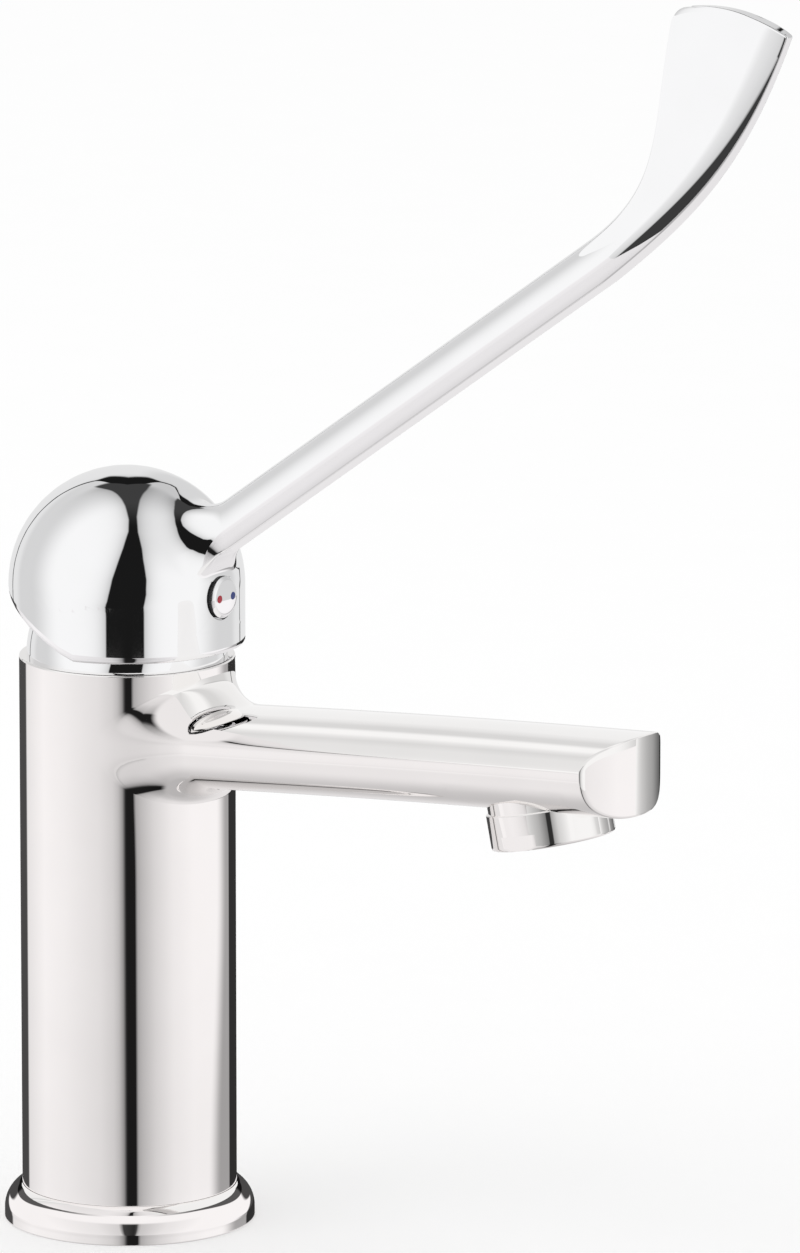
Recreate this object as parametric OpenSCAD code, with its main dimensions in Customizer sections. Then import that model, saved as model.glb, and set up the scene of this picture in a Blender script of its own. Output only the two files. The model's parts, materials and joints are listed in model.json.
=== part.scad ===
// Single lever basin mixer with a long elbow lever.
// Millimetres. The origin is the centre of the foot on the deck, +X follows the spout, +Z is up.

/* [Column] */
// Outside diameter of the column
body_d = 47; // [46:0.5:52]
// Height of the column's top rim above the deck
body_h = 126; // [120:1:150]
// Wall of the hollow foot of the column
column_wall = 4; // [3:0.25:5]
// Thickness of the bulkhead that the inlets screw into
bulkhead_t = 15; // [14:0.5:20]

/* [Base ring] */
// How far the base ring stands out past the column
ring_overhang = 3.9; // [3.4:0.1:6]
// Height of the base ring
ring_h = 8; // [6:0.5:11]
// Height of the ring's upright edge, below its round shoulder
ring_edge_h = 2.1; // [1:0.1:3]
// Thickness of the lip under the column
ring_lip_t = 2; // [1.5:0.25:3]
// Thickness of the round seal under the ring
base_seal_d = 2; // [1.6:0.1:2.4]

/* [Spout] */
// Column axis to the middle of the water outlet
spout_reach = 112.3; // [95:0.5:150]
// Outlet middle to the end of the spout
spout_nose = 22.3; // [21:0.1:28]
// Width of the spout
spout_w = 30.5; // [29:0.5:32]
// Height of the spout's section
spout_h = 17.2; // [15.5:0.1:19]
// Top of the spout down to its widest line
spout_waist = 6.3; // [5:0.1:8]
// Rim of the column down to the top of the spout
spout_drop = 9.1; // [8.5:0.1:14]
// Rise of the spout's top from the column to its end
spout_rise = 7.8; // [2:0.1:10]
// Arch of the spout's top between its ends
spout_arch = 0.52; // [0:0.02:1.5]
// Radius where the spout's top and sides meet the column
spout_fillet = 7; // [3:0.25:8]
// Depth of that radius under the spout
spout_low_fillet = 3.5; // [1:0.25:5]
// Bulge of the spout's end face
spout_end_bulge = 5.4; // [2:0.1:7]
// Diameter of the water channel along the spout
channel_d = 9; // [6:0.5:10]

/* [Outlet] */
// Forward tilt of the outlet
outlet_tilt = 12; // [4:1:18]
// Diameter of the outlet's thread
outlet_thread_d = 23; // [21:0.25:23.5]
// Depth of the outlet's thread
outlet_thread_l = 7; // [6:0.25:8]
// Outside diameter of the aerator's housing
aerator_d = 26.7; // [25.8:0.1:28]
// Height of the aerator's housing below its seat
aerator_h = 7.8; // [6:0.1:10]
// Width of the two spanner flats on the aerator
flat_w = 8; // [5:0.5:10]
// Height of the spanner flats
flat_h = 3.3; // [2:0.1:4.5]
// Diameter of the aerator's insert
insert_d = 19; // [17:0.25:20]
// Thickness of the aerator's washer
washer_t = 1.5; // [1:0.1:2]

/* [Inlets and fixing] */
// Diameter of the hole for each inlet's thread
inlet_d = 9; // [8:0.1:10]
// Depth of each inlet's thread
inlet_l = 10; // [8:0.5:12]
// Diameter of the hole for the fixing stud's thread
stud_d = 6.8; // [5:0.1:8.5]
// Depth of the fixing stud's thread
stud_l = 11; // [8:0.5:12]
// Fixing stud's distance behind the column axis
stud_x = 11.5; // [10:0.5:13]
// Inlets' distance in front of the column axis
port_x = 3; // [2:0.25:4]
// Inlets' distance to each side
port_y = 8.5; // [8:0.25:9]
// Diameter of the waterway above each inlet
port_d = 6.4; // [5:0.1:7]

/* [Cartridge] */
// Outside diameter of the cartridge
cartridge_d = 35; // [34:0.25:36]
// Wall of the cartridge's housing
housing_wall = 2; // [1.6:0.1:2.4]
// Height of the bosses under the cartridge's base
boss_h = 3.5; // [3:0.25:5]
// Thickness of the cartridge's base
base_t = 4.5; // [4:0.25:6]
// Thickness of the fixed ceramic disc
fixed_disc_t = 4; // [3:0.25:5]
// Thickness of the moving ceramic disc
moving_disc_t = 3.95; // [3.5:0.05:5]
// Diameter of the moving ceramic disc and of its carrier
moving_disc_d = 19.2; // [18.6:0.1:19.8]
// Height of the disc carrier
carrier_h = 7.6; // [7:0.1:9]
// Thickness of the turret's flange
flange_t = 2.6; // [2.4:0.1:4]
// Thickness of the housing's roof
roof_t = 2.7; // [2:0.1:4]
// Diameter of the turret's neck
turret_d = 21.9; // [21:0.1:22.6]
// Height of the turret's neck above the housing's shoulder
turret_h = 9.5; // [8.5:0.25:11]
// Wall of the housing's neck round the turret
neck_wall = 2; // [1.5:0.1:2.5]
// Length of the retaining nut's thread
nut_thread_l = 5.5; // [4.5:0.25:8]
// Height of the retaining nut's hexagon
nut_hex_h = 5.5; // [4:0.25:5.75]
// Radial depth of the retaining nut's thread ring outside the cartridge
nut_ring = 2.4; // [2:0.1:2.6]

/* [Lever mechanism] */
// Lift of the lever from closed to full flow
lift_angle = 25; // [15:1:26]
// Pivot pin's height above the housing's shoulder
pivot_rise = 4.5; // [4:0.25:5.5]
// Diameter of the pivot pin
pin_d = 3.2; // [2.6:0.1:3.6]
// Width of the stem, along the spout
stem_w = 8; // [7:0.25:8.5]
// Thickness of the stem, across the spout
stem_t = 6.2; // [5.6:0.1:7]
// Diameter of the stem's lower rod
rod_d = 4.8; // [4:0.1:5]
// Diameter of the ball at the stem's lower end
ball_d = 5.8; // [5.4:0.1:6.2]

/* [Neck shroud] */
// Inset of the shroud's foot from the column's side
shroud_inset = 0.9; // [0.5:0.1:1.5]
// Height of the shroud above the rim
shroud_h = 7.4; // [7:0.1:8.5]
// Thickness of the shroud's sheet
shroud_t = 1; // [0.6:0.1:1.2]
// How far below the rim the shroud's round form is centred
shroud_centre_drop = 6; // [4:0.5:8]
// Diameter of the opening at the top of the shroud
shroud_mouth_d = 32; // [30:0.5:33]

/* [Lever dome] */
// How far the dome stands out past the column
dome_overhang = 2.2; // [1.6:0.1:3.5]
// Wall of the dome
dome_wall = 2.2; // [1.6:0.1:2.4]
// Gap between the column's rim and the dome
dome_gap = 2.8; // [2:0.1:4]
// Height of the dome's upright skirt
dome_skirt = 12.7; // [12:0.1:16]
// Radius of the dome's lower edge
dome_edge_r = 1; // [0.4:0.1:1.1]
// Slope of the cut that frees the dome's back as the lever lifts
relief_angle = 26; // [18:0.5:30]
// Where that cut starts, in front of the column axis
relief_start = 3.4; // [0:0.2:6]
// Diameter of the column inside the dome that grips the stem
socket_d = 15; // [14:0.5:17]
// Depth of the stem in the dome, above the grub screw
stem_grip = 10.5; // [8:0.5:14]

/* [Index cap] */
// Diameter of the index cap's face
cap_d = 9.2; // [8:0.1:10.5]
// Gap round the index cap
cap_gap = 0.35; // [0.15:0.05:0.6]
// Thickness of the index cap's head
cap_t = 1.3; // [1:0.1:2]
// Diameter of the index cap's plug
plug_d = 6; // [5.4:0.1:6.6]
// Diameter of each colour mark
mark_d = 1.9; // [1.2:0.1:2.4]
// Distance between the two colour marks
mark_pitch = 4.8; // [3.6:0.1:5.4]
// Diameter of the grub screw
grub_d = 4.2; // [3.4:0.1:5]
// Length of the grub screw
grub_l = 8; // [5:0.5:10]

/* [Lever arm] */
// Slope of the arm above level
arm_angle = 35.2; // [28:0.2:45]
// Centre of the dome to the start of the paddle, along the arm
arm_len = 149; // [90:1:180]
// Height of the arm's section
arm_h = 9.8; // [8.4:0.1:12]
// Thickness of the arm across the spout
arm_w = 8.7; // [6:0.1:11]
// Width of the arm's flat underside
arm_flat = 6.9; // [4:0.1:8.5]
// Arm's upper edge above the line through the dome's centre
arm_offset = 2.2; // [0:0.05:3]
// Length of the paddle, along the arm
paddle_len = 58.4; // [50:0.2:80]
// Rise of the paddle's end out of the arm's line
paddle_rise = 25.4; // [14:0.1:30]
// Width of the paddle's end
paddle_w = 29.2; // [20:0.1:34]
// Tilt of the paddle's end edge
paddle_tilt = 45.2; // [40:0.1:60]
// Thickness of the paddle's end
paddle_t = 3; // [2:0.1:6]
// Width of the flat along the paddle's front edge
paddle_flat = 3; // [2:0.1:5]
// Radius of the paddle's upper back corner
paddle_corner = 4.2; // [2:0.1:8]
// Bulge of the paddle's end edge
paddle_bulge = 2; // [0:0.1:4]

/* [Hidden] */
$fn = 64;

// Clearances: loose fit, running fit, gap between sliding discs and gap under a flange
fit = 0.1;
run_fit = 0.05;
disc_gap = 0.05;
flange_gap = 0.4;
roof_gap = 0.2;
over = 1;

// Column and chamber
body_r = body_d / 2;
hollow_r = body_r - column_wall;
chamber_r = cartridge_d / 2 + fit;
nut_r = cartridge_d / 2 + nut_ring;

// The cartridge's stack, from the shoulder under the nut down to the chamber's floor
shoulder_z = body_h - nut_thread_l;
roof_z = shoulder_z - roof_t;
flange_z = roof_z - roof_gap - flange_t;
carrier_z = flange_z - flange_gap - carrier_h;
moving_z = carrier_z - moving_disc_t;
fixed_z = moving_z - disc_gap - fixed_disc_t;
base_z = fixed_z - base_t;
floor_z = base_z - boss_h;
bulkhead_z = floor_z - bulkhead_t;

// Cartridge details
base_gap = 0.3;
base_r = cartridge_d / 2 - base_gap;
cavity_r = cartridge_d / 2 - housing_wall;
fixed_disc_r = cavity_r - 2 * fit;
flange_side_gap = 1;
flange_r = cavity_r - flange_side_gap;
turret_r = turret_d / 2;
neck_bore_r = turret_r + run_fit;
neck_r = neck_bore_r + neck_wall;
turret_top = shoulder_z + turret_h;
turret_proud = 0.5;
neck_top = turret_top - turret_proud;
outlet_x = -3.5;
outlet_d = 6;
boss_wall = 2.8;
boss_d = port_d + 2 * boss_wall;
seal_inset = 0.8;
seal_w = 1.2;
seal_t = 1.6;
seal_in_d = port_d + 2 * seal_inset;
seal_out_d = seal_in_d + 2 * seal_w;
disc_seal_w = 1.3;
disc_seal_t = 1.2;
peg_d = 3.2;
peg_l = 3;
peg_x = -10;
peg_y = 8;
bore_seal_d = 1.2;
bore_seal_drop = 2;
bore_seal_z = roof_z - bore_seal_drop;
nut_hole_r = neck_r + 2 * fit;
nut_wall = 1.8;
nut_hex_af = 2 * (nut_hole_r + nut_wall);

// Lever mechanism
pivot_z = shoulder_z + pivot_rise;
moving_r = moving_disc_d / 2;
ball_sink = 2.1;
ball_gap = 0.3;
mouth_gap = 0.8;
slot_gap = 0.5;
ball_z = carrier_z + carrier_h - ball_sink;
pocket_r = ball_d / 2 + ball_gap;
pocket_mouth_r = rod_d / 2 / cos(lift_angle) + ball_sink * tan(lift_angle) + mouth_gap;
slot_front = (pivot_z - flange_z) * tan(lift_angle) + rod_d / 2 / cos(lift_angle) + slot_gap;
slot_back = (turret_top - pivot_z) * tan(lift_angle) + stem_w / 2 / cos(lift_angle) + slot_gap;
rib_y = 7.4;
rib_w = 2;
rib_h = 1.5;
rib_top = carrier_z + carrier_h + rib_h;
tab_w = 4;
tab_h = 1.6;
tab_t = 1.4;
chamber_pocket_x = -4.5;
chamber_pocket_y = 4.6;
chamber_pocket_d = 5.2;

// Shroud: a slice of a sphere that stands on the rim
shroud_foot_r = body_r - shroud_inset;
shroud_z = body_h - shroud_centre_drop;
shroud_r = sqrt(pow(shroud_foot_r, 2) + pow(shroud_centre_drop, 2));

// Dome and what it holds
dome_r = body_r + dome_overhang;
dome_in_r = dome_r - dome_wall;
rim_z = body_h + dome_gap;
dome_z = rim_z + dome_skirt;
stem_top = dome_z + stem_grip;
socket_drop = 3.2;
socket_z = dome_z - socket_drop;
// The socket's top lies in the dome's wall, between the inner crown and the outer face at its edge
socket_top = dome_z + (dome_in_r + sqrt(pow(dome_r, 2) - pow(socket_d / 2, 2))) / 2;
cap_sink = 1.5;
cap_seat_x = dome_r - cap_sink;
cap_x = cap_seat_x + cap_t;
plug_l = 6;
screw_boss_wall = 2.5;
screw_boss_d = plug_d + 2 * screw_boss_wall;
mark_t = 0.5;

// Base ring: its shoulder is one arc from the upright edge to the column
ring_r = body_r + ring_overhang;
ring_bore_r = body_r + fit;
shoulder_h = ring_h - ring_edge_h;
shoulder_w = ring_r - ring_bore_r;
shoulder_r = (pow(shoulder_h, 2) + pow(shoulder_w, 2)) / (2 * shoulder_w);
base_seal_r = (ring_bore_r + ring_r) / 2;

// Spout lines
spout_tip_x = spout_reach + spout_nose;
spout_half_w = spout_w / 2;
spout_top_z = body_h - spout_drop;
spout_land = 1;
root_fillet = min(spout_fillet, spout_drop - spout_land, body_r - spout_land - spout_half_w);
top_exponent = 2.25;
low_exponent = 2.8;
spout_sides = 40;

// Outlet frame: its origin is the seat of the aerator, its axis leans with the outlet
seat_sink = 0.6;
seat_x = spout_reach - aerator_h * sin(outlet_tilt);
seat_z = spout_low(seat_x) + seat_sink;
thread_r = outlet_thread_d / 2;
outlet_boss_wall = 1.3;
outlet_boss_r = thread_r + outlet_boss_wall;
outlet_boss_l = 5;
aerator_r = aerator_d / 2;
neck_l = outlet_thread_l - washer_t;
washer_seat = 2;
insert_r = insert_d / 2;
insert_lip = 1;
insert_lip_w = 0.7;
screen_t = 0.8;
aerator_chamfer = 0.8;
aerator_hole_d = 2;
aerator_hole_pitch = 3.4;
channel_z = spout_mid(body_r);
channel_dip = 5;
channel_end = [seat_x - channel_dip * sin(outlet_tilt), seat_z + channel_dip * cos(outlet_tilt)];
duct_d = 8;
duct_sill = 0.5;

// Lever outline, in the arm's own frame: u along the arm, n square to it, from the dome's centre
root_sink = 5.5;
flare_l = 9;
root_u = dome_r - root_sink;
flare_u = dome_r + flare_l;
root_flare = 7;
low_flare_share = 0.1;
paddle_mid = [arm_len + paddle_len, arm_offset - arm_h / 2 + paddle_rise];
paddle_edge = [cos(90 + paddle_tilt), sin(90 + paddle_tilt)];
paddle_top = paddle_mid + paddle_edge * paddle_w / 2;
paddle_low = paddle_mid - paddle_edge * paddle_w / 2;
top_sweep = 42.8;
low_sweep = 32.8;
low_start = 2.8;
top_pulls = [0.42, 0.5];
low_pulls = [0.47, 0.49];
arm_low = [arm_len, arm_offset - arm_h];
top_curve = [
    [arm_len, arm_offset],
    [arm_len + top_pulls[0] * paddle_len, arm_offset],
    paddle_top - top_pulls[1] * paddle_len * [cos(top_sweep), sin(top_sweep)],
    paddle_top
];
low_curve = [
    arm_low,
    arm_low + low_pulls[0] * paddle_len * [cos(low_start), sin(low_start)],
    paddle_low - low_pulls[1] * paddle_len * [cos(low_sweep), sin(low_sweep)],
    paddle_low
];
section_waist = 0.4;
corner_share = 0.8;
corner_start = 1 - corner_share * paddle_corner / paddle_len;
bulge_start = 0.7;

// Plain helpers
function mix(a, b, t) = a + (b - a) * t;
function clamp01(t) = max(0, min(1, t));
function ease(t) = clamp01(t) * clamp01(t) * (3 - 2 * clamp01(t));
function bezier(p, t) =
    pow(1 - t, 3) * p[0] + 3 * t * pow(1 - t, 2) * p[1] + 3 * t * t * (1 - t) * p[2] + pow(t, 3) * p[3];
function signed_pow(v, e) = sign(v) * pow(abs(v), e);
function flatten(rings) = [for (ring = rings) for (p = ring) p];

// Faces of a skin over rings of n points: sides, a first cap and a last cap folded about its middle
function skin_sides(count, n) = [
    for (i = [0 : count - 2]) for (k = [0 : n - 1]) for (half = [0, 1])
        let (a = i * n + k, b = i * n + (k + 1) % n, c = a + n, d = b + n)
        half == 0 ? [a, d, b] : [a, c, d]
];
function skin_cap(first, n) = [
    for (k = [0 : floor((n - 1) / 2) - 1]) for (half = [0, 1])
        let (a = first + k, b = a + 1, c = first + n - 2 - k, d = c + 1)
        if (half == 0 || b != c) half == 0 ? [a, b, d] : [b, c, d]
];
module skin(rings) {
    n = len(rings[0]);
    last = (len(rings) - 1) * n;
    caps = concat(skin_cap(0, n), [for (f = skin_cap(last, n)) [f[2], f[1], f[0]]]);
    polyhedron(points = flatten(rings), faces = concat(skin_sides(len(rings), n), caps));
}

// Spout: top line and section; a root ring wraps the column, an end ring follows the bulged end face
function spout_share(x) = (x - body_r) / (spout_tip_x - body_r);
function spout_line(x) =
    spout_top_z + spout_rise * spout_share(x) + 4 * spout_arch * spout_share(x) * (1 - spout_share(x));
function spout_low(x) = spout_line(x) - spout_h;
function spout_mid(x) = spout_line(x) - spout_h / 2;
function root_lift(x) =
    1 - sqrt(1 - pow(clamp01(1 - (x - body_r) / root_fillet), 2));
function spout_x(x, y, wrap, nose) =
    mix(x, sqrt(pow(x, 2) - pow(y, 2)), wrap) - nose * spout_end_bulge * pow(y / spout_half_w, 2);
function spout_ring(x, wrap, nose, shrink) = [
    for (k = [0 : spout_sides - 1])
        let (a = 360 * k / spout_sides)
        let (up = sin(a) >= 0)
        let (e = 2 / (up ? top_exponent : low_exponent))
        let (top_rise = spout_waist + root_fillet * root_lift(x))
        let (low_rise = spout_h - spout_waist + spout_low_fillet * root_lift(x))
        let (half_w = spout_half_w + root_fillet * root_lift(x))
        let (y = half_w * signed_pow(cos(a), e) * shrink)
        let (z = (up ? top_rise : low_rise) * signed_pow(sin(a), e) * shrink)
        [spout_x(x, y, wrap, nose), y, spout_line(x) - spout_waist + z]
];
root_bite = 0.15;
root_steps = concat([body_r - root_bite], [for (a = [15 : 15 : 90]) body_r + root_fillet * (1 - cos(a))]);
run_steps = 8;
end_shrinks = [0.75, 0.5, 0.25];
spout_rings = concat(
    [[for (p = spout_ring(body_r, 0, 0, 1)) [0, p[1], p[2]]]],
    [for (x = root_steps) spout_ring(x, 1, 0, 1)],
    [for (i = [1 : run_steps])
        let (t = i / run_steps)
        spout_ring(mix(body_r + root_fillet, spout_tip_x, t), pow(1 - t, 2), t * t, 1)],
    [for (share = end_shrinks) spout_ring(spout_tip_x, 0, 1, share)]
);

// Lever: upper and lower edge points and the section between them
function arm_flare(u) = root_flare * pow(clamp01((flare_u - u) / (flare_u - root_u)), 2);
function lever_point(u, n, y) = [
    u * cos(arm_angle) - n * sin(arm_angle),
    y,
    dome_z + u * sin(arm_angle) + n * cos(arm_angle)
];
section_sides = concat(
    [[0, 0], [section_waist / 2, 0.75], [section_waist, 1]],
    [for (a = [18 : 18 : 72]) [mix(section_waist, 1, sin(a)), 1 + cos(a)]]
);
// A section's half thickness: 0 to 1 grows from the flat to the waist, 1 to 2 rounds to the top
function half_thick(f, flat, thick) =
    f <= 1 ? mix(flat, thick, f) / 2 : (f - 1) * thick / 2;
function section_ring(low, top, flat, thick, bulge) =
    let (across = top - low)
    let (ahead = [across[1], -across[0]] / norm(across))
    let (side = [
        for (s = section_sides)
            let (at = low + across * s[0] + ahead * bulge * 4 * s[0] * (1 - s[0]))
            [at[0], at[1], half_thick(s[1], flat, thick)]
    ])
    concat(
        [for (p = side) lever_point(p[0], p[1], p[2])],
        [lever_point(top[0], top[1], 0)],
        [for (i = [len(side) - 1 : -1 : 0]) lever_point(side[i][0], side[i][1], -side[i][2])]
    );
function arm_ring(u) = section_ring(
    [u, arm_offset - arm_h - low_flare_share * arm_flare(u)],
    [u, arm_offset + arm_flare(u)],
    arm_flat + arm_flare(u),
    arm_w + arm_flare(u),
    0
);
function corner_pull(t) =
    paddle_corner / paddle_w * (1 - sqrt(1 - pow(clamp01((t - corner_start) / (1 - corner_start)), 2)));
function paddle_ring(t) =
    let (low = bezier(low_curve, t))
    let (edge = bezier(top_curve, t))
    section_ring(
        low,
        mix(edge, low, corner_pull(t)),
        mix(arm_flat, paddle_flat, ease(t)),
        mix(arm_w, paddle_t, ease(t)),
        paddle_bulge * ease((t - bulge_start) / (1 - bulge_start))
    );
lever_rings = concat(
    [for (i = [0 : 4]) arm_ring(mix(root_u, flare_u, i / 4))],
    [for (i = [1 : 5]) arm_ring(mix(flare_u, arm_len, i / 5))],
    [for (i = [1 : 9]) paddle_ring(corner_start * i / 9)],
    [for (i = [1 : 4]) paddle_ring(mix(corner_start, 1, i / 4))]
);

// Shapes that repeat
module tube(z, h, r_out, r_in) {
    translate([0, 0, z])
    difference() {
        cylinder(h = h, r = r_out);
        translate([0, 0, -over]) cylinder(h = h + 2 * over, r = r_in);
    }
}
module hole(x, y, z, h, d) {
    translate([x, y, z]) cylinder(h = h, d = d);
}
module at_ports() {
    for (side = [-1, 1]) translate([port_x, side * port_y, 0]) children();
}
module at_pegs() {
    for (side = [-1, 1]) translate([peg_x, side * peg_y, 0]) children();
}
module at_outlet() {
    translate([seat_x, 0, seat_z]) rotate([0, -outlet_tilt, 0]) children();
}
module along_x(x, z, h, d) {
    translate([x, 0, z]) rotate([0, 90, 0]) cylinder(h = h, d = d);
}
module across_y(z, l, d) {
    translate([0, l / 2, z]) rotate([90, 0, 0]) cylinder(h = l, d = d);
}
module slot_box(x0, x1, w, z0, z1) {
    translate([x0, -w / 2, z0]) cube([x1 - x0, w, z1 - z0]);
}

// Base ring with its lip under the column and a groove for the seal
module base_ring() {
    color("gainsboro")
    difference() {
        rotate_extrude() {
            translate([ring_bore_r, 0]) square([ring_r - ring_bore_r, ring_edge_h]);
            translate([hollow_r, 0]) square([ring_bore_r - hollow_r, ring_lip_t]);
            intersection() {
                translate([ring_r - shoulder_r, ring_edge_h]) circle(r = shoulder_r);
                translate([ring_bore_r, ring_edge_h]) square([shoulder_w, shoulder_h]);
            }
        }
        tube(-over, over + base_seal_d, base_seal_r + base_seal_d / 2 + fit,
            base_seal_r - base_seal_d / 2 - fit);
    }
}

module base_seal() {
    color("dimgray")
    rotate_extrude() translate([base_seal_r, base_seal_d / 2]) circle(d = base_seal_d);
}

// Column and spout in one casting: hollow foot, bulkhead, cartridge chamber and waterways
module body() {
    color("gainsboro")
    difference() {
        union() {
            hole(0, 0, ring_lip_t, body_h - ring_lip_t, body_d);
            skin(spout_rings);
            at_outlet() cylinder(h = outlet_boss_l, r = outlet_boss_r);
        }
        hole(0, 0, 0, bulkhead_z, 2 * hollow_r);
        hole(0, 0, floor_z, body_h, 2 * chamber_r);
        hole(0, 0, shoulder_z, body_h, 2 * (nut_r + fit));
        at_ports() hole(0, 0, bulkhead_z - over, inlet_l + over, inlet_d);
        at_ports() hole(0, 0, bulkhead_z, bulkhead_t + over, port_d);
        at_pegs() hole(0, 0, floor_z - peg_l - fit, peg_l + over, peg_d + 2 * fit);
        hole(-stud_x, 0, bulkhead_z - over, stud_l + over, stud_d);
        waterway();
    }
}
module waterway() {
    start = [chamber_r - 2 * over, channel_z];
    run = channel_end - start;
    hole(chamber_r - over, 0, floor_z + duct_sill, channel_z - floor_z, duct_d);
    translate([start[0], 0, start[1]])
    rotate([0, atan2(run[0], run[1]), 0])
    cylinder(h = norm(run), d = channel_d);
    at_outlet() {
        cylinder(h = outlet_thread_l, r = thread_r);
        translate([0, 0, outlet_thread_l - over]) cylinder(h = over + 2, r = insert_r - washer_seat);
        translate([0, 0, -2 * aerator_h]) cylinder(h = 2 * aerator_h, r = aerator_r + 3 * fit);
    }
}

// Cartridge, from the floor of the chamber upwards
module port_seals() {
    color("dimgray")
    at_ports() tube(floor_z, seal_t, seal_out_d / 2, seal_in_d / 2);
}
module cartridge_base() {
    color("whitesmoke")
    difference() {
        union() {
            hole(0, 0, base_z, base_t, 2 * base_r);
            at_ports() hole(0, 0, floor_z, boss_h + over, boss_d);
            at_pegs() hole(0, 0, floor_z - peg_l, peg_l + boss_h + over, peg_d);
        }
        at_ports() hole(0, 0, floor_z - over, fixed_z, port_d);
        at_ports() tube(floor_z - over, seal_t + over, seal_out_d / 2 + run_fit, seal_in_d / 2 - run_fit);
        at_ports() hole(0, 0, fixed_z - disc_seal_t, base_t, port_d + 2 * (disc_seal_w + run_fit));
        hole(outlet_x, 0, base_z - over, fixed_z, outlet_d);
        hole(outlet_x, 0, fixed_z - disc_seal_t, base_t, outlet_d + 2 * (disc_seal_w + run_fit));
    }
}
module disc_seals() {
    color("dimgray") {
        at_ports() tube(fixed_z - disc_seal_t, disc_seal_t, port_d / 2 + disc_seal_w, port_d / 2);
        translate([outlet_x, 0, 0])
        tube(fixed_z - disc_seal_t, disc_seal_t, outlet_d / 2 + disc_seal_w, outlet_d / 2);
    }
}
module fixed_disc() {
    color("ivory")
    difference() {
        hole(0, 0, fixed_z, fixed_disc_t, 2 * fixed_disc_r);
        at_ports() hole(0, 0, fixed_z - over, fixed_disc_t + 2 * over, port_d);
        hole(outlet_x, 0, fixed_z - over, fixed_disc_t + 2 * over, outlet_d);
    }
}
module cartridge_housing() {
    color("slategray")
    difference() {
        union() {
            hole(0, 0, fixed_z, shoulder_z - fixed_z, cartridge_d);
            hole(0, 0, shoulder_z - over, neck_top - shoulder_z + over, 2 * neck_r);
        }
        hole(0, 0, fixed_z - over, roof_z - fixed_z + over, 2 * cavity_r);
        hole(0, 0, roof_z - over, neck_top, 2 * neck_bore_r);
        tube(bore_seal_z - bore_seal_d / 2 - run_fit, bore_seal_d + 2 * run_fit, chamber_r + over,
            chamber_r - bore_seal_d);
    }
}
module bore_seal() {
    color("dimgray")
    rotate_extrude()
    translate([chamber_r - bore_seal_d / 2, bore_seal_z])
    circle(d = bore_seal_d - run_fit);
}
module retaining_nut() {
    color("goldenrod")
    difference() {
        union() {
            hole(0, 0, shoulder_z, nut_thread_l, 2 * nut_r);
            translate([0, 0, body_h - over])
            cylinder(h = nut_hex_h + over, r = nut_hex_af / 2 / cos(30), $fn = 6);
        }
        hole(0, 0, shoulder_z - over, body_h, 2 * nut_hole_r);
    }
}
module neck_shroud() {
    color("gainsboro")
    rotate_extrude() {
        intersection() {
            difference() {
                translate([0, shroud_z]) circle(r = shroud_r);
                translate([0, shroud_z]) circle(r = shroud_r - shroud_t);
            }
            translate([0, body_h]) square([body_r, shroud_h]);
        }
        intersection() {
            translate([0, shroud_z]) circle(r = shroud_r - shroud_t / 2);
            translate([shroud_mouth_d / 2, body_h + shroud_h - shroud_t])
            square([body_r, shroud_t]);
        }
    }
}

// Aerator, in the outlet's frame
module aerator_housing() {
    color("gainsboro")
    at_outlet()
    difference() {
        rotate_extrude()
        polygon([
            [insert_r - insert_lip_w, -aerator_h],
            [aerator_r - aerator_chamfer, -aerator_h],
            [aerator_r, aerator_chamfer - aerator_h],
            [aerator_r, 0],
            [thread_r - fit, 0],
            [thread_r - fit, neck_l],
            [insert_r + fit, neck_l],
            [insert_r + fit, insert_lip - aerator_h],
            [insert_r - insert_lip_w, insert_lip - aerator_h]
        ]);
        for (side = [-1, 1]) spanner_flat(side);
    }
}
module spanner_flat(side) {
    reach = sqrt(pow(aerator_r, 2) - pow(flat_w / 2, 2));
    translate([-flat_w, side > 0 ? reach : -reach - flat_w, -aerator_h - over])
    cube([2 * flat_w, flat_w, flat_h + over]);
}
module hole_pattern(z, h) {
    translate([0, 0, z]) cylinder(h = h, d = aerator_hole_d);
    for (ring = [1, 2]) for (i = [0 : 6 * ring - 1])
        rotate([0, 0, 60 * i / ring])
        translate([ring * aerator_hole_pitch, 0, z])
        cylinder(h = h, d = aerator_hole_d);
}
module aerator_insert() {
    color("lightsteelblue")
    at_outlet()
    difference() {
        translate([0, 0, insert_lip - aerator_h])
        cylinder(h = aerator_h - insert_lip - screen_t, r = insert_r);
        hole_pattern(-aerator_h, aerator_h + over);
    }
}
module aerator_screen() {
    color("silver")
    at_outlet()
    difference() {
        translate([0, 0, -screen_t]) cylinder(h = screen_t, r = insert_r);
        hole_pattern(-screen_t - over, screen_t + 2 * over);
    }
}
module aerator_washer() {
    color("dimgray")
    at_outlet() tube(neck_l, washer_t, thread_r - fit, insert_r + fit);
}

// Turret: turns in the housing's neck, carries the pivot pin and steers the disc carrier
module turret() {
    color("whitesmoke")
    difference() {
        union() {
            hole(0, 0, flange_z, flange_t, 2 * flange_r);
            hole(0, 0, flange_z, turret_top - flange_z, turret_d);
        }
        slot_box(-slot_back, slot_front, stem_t + 4 * run_fit, flange_z - over, turret_top + over);
        across_y(pivot_z, 2 * turret_d, pin_d + 2 * run_fit);
        for (side = [-1, 1])
            translate([0, side * rib_y, 0])
            slot_box(-2 * flange_r, 2 * flange_r, rib_w + 4 * fit, flange_z - over, rib_top + fit);
    }
}
module pivot_pin() {
    color("silver") across_y(pivot_z, turret_d - over, pin_d);
}

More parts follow.
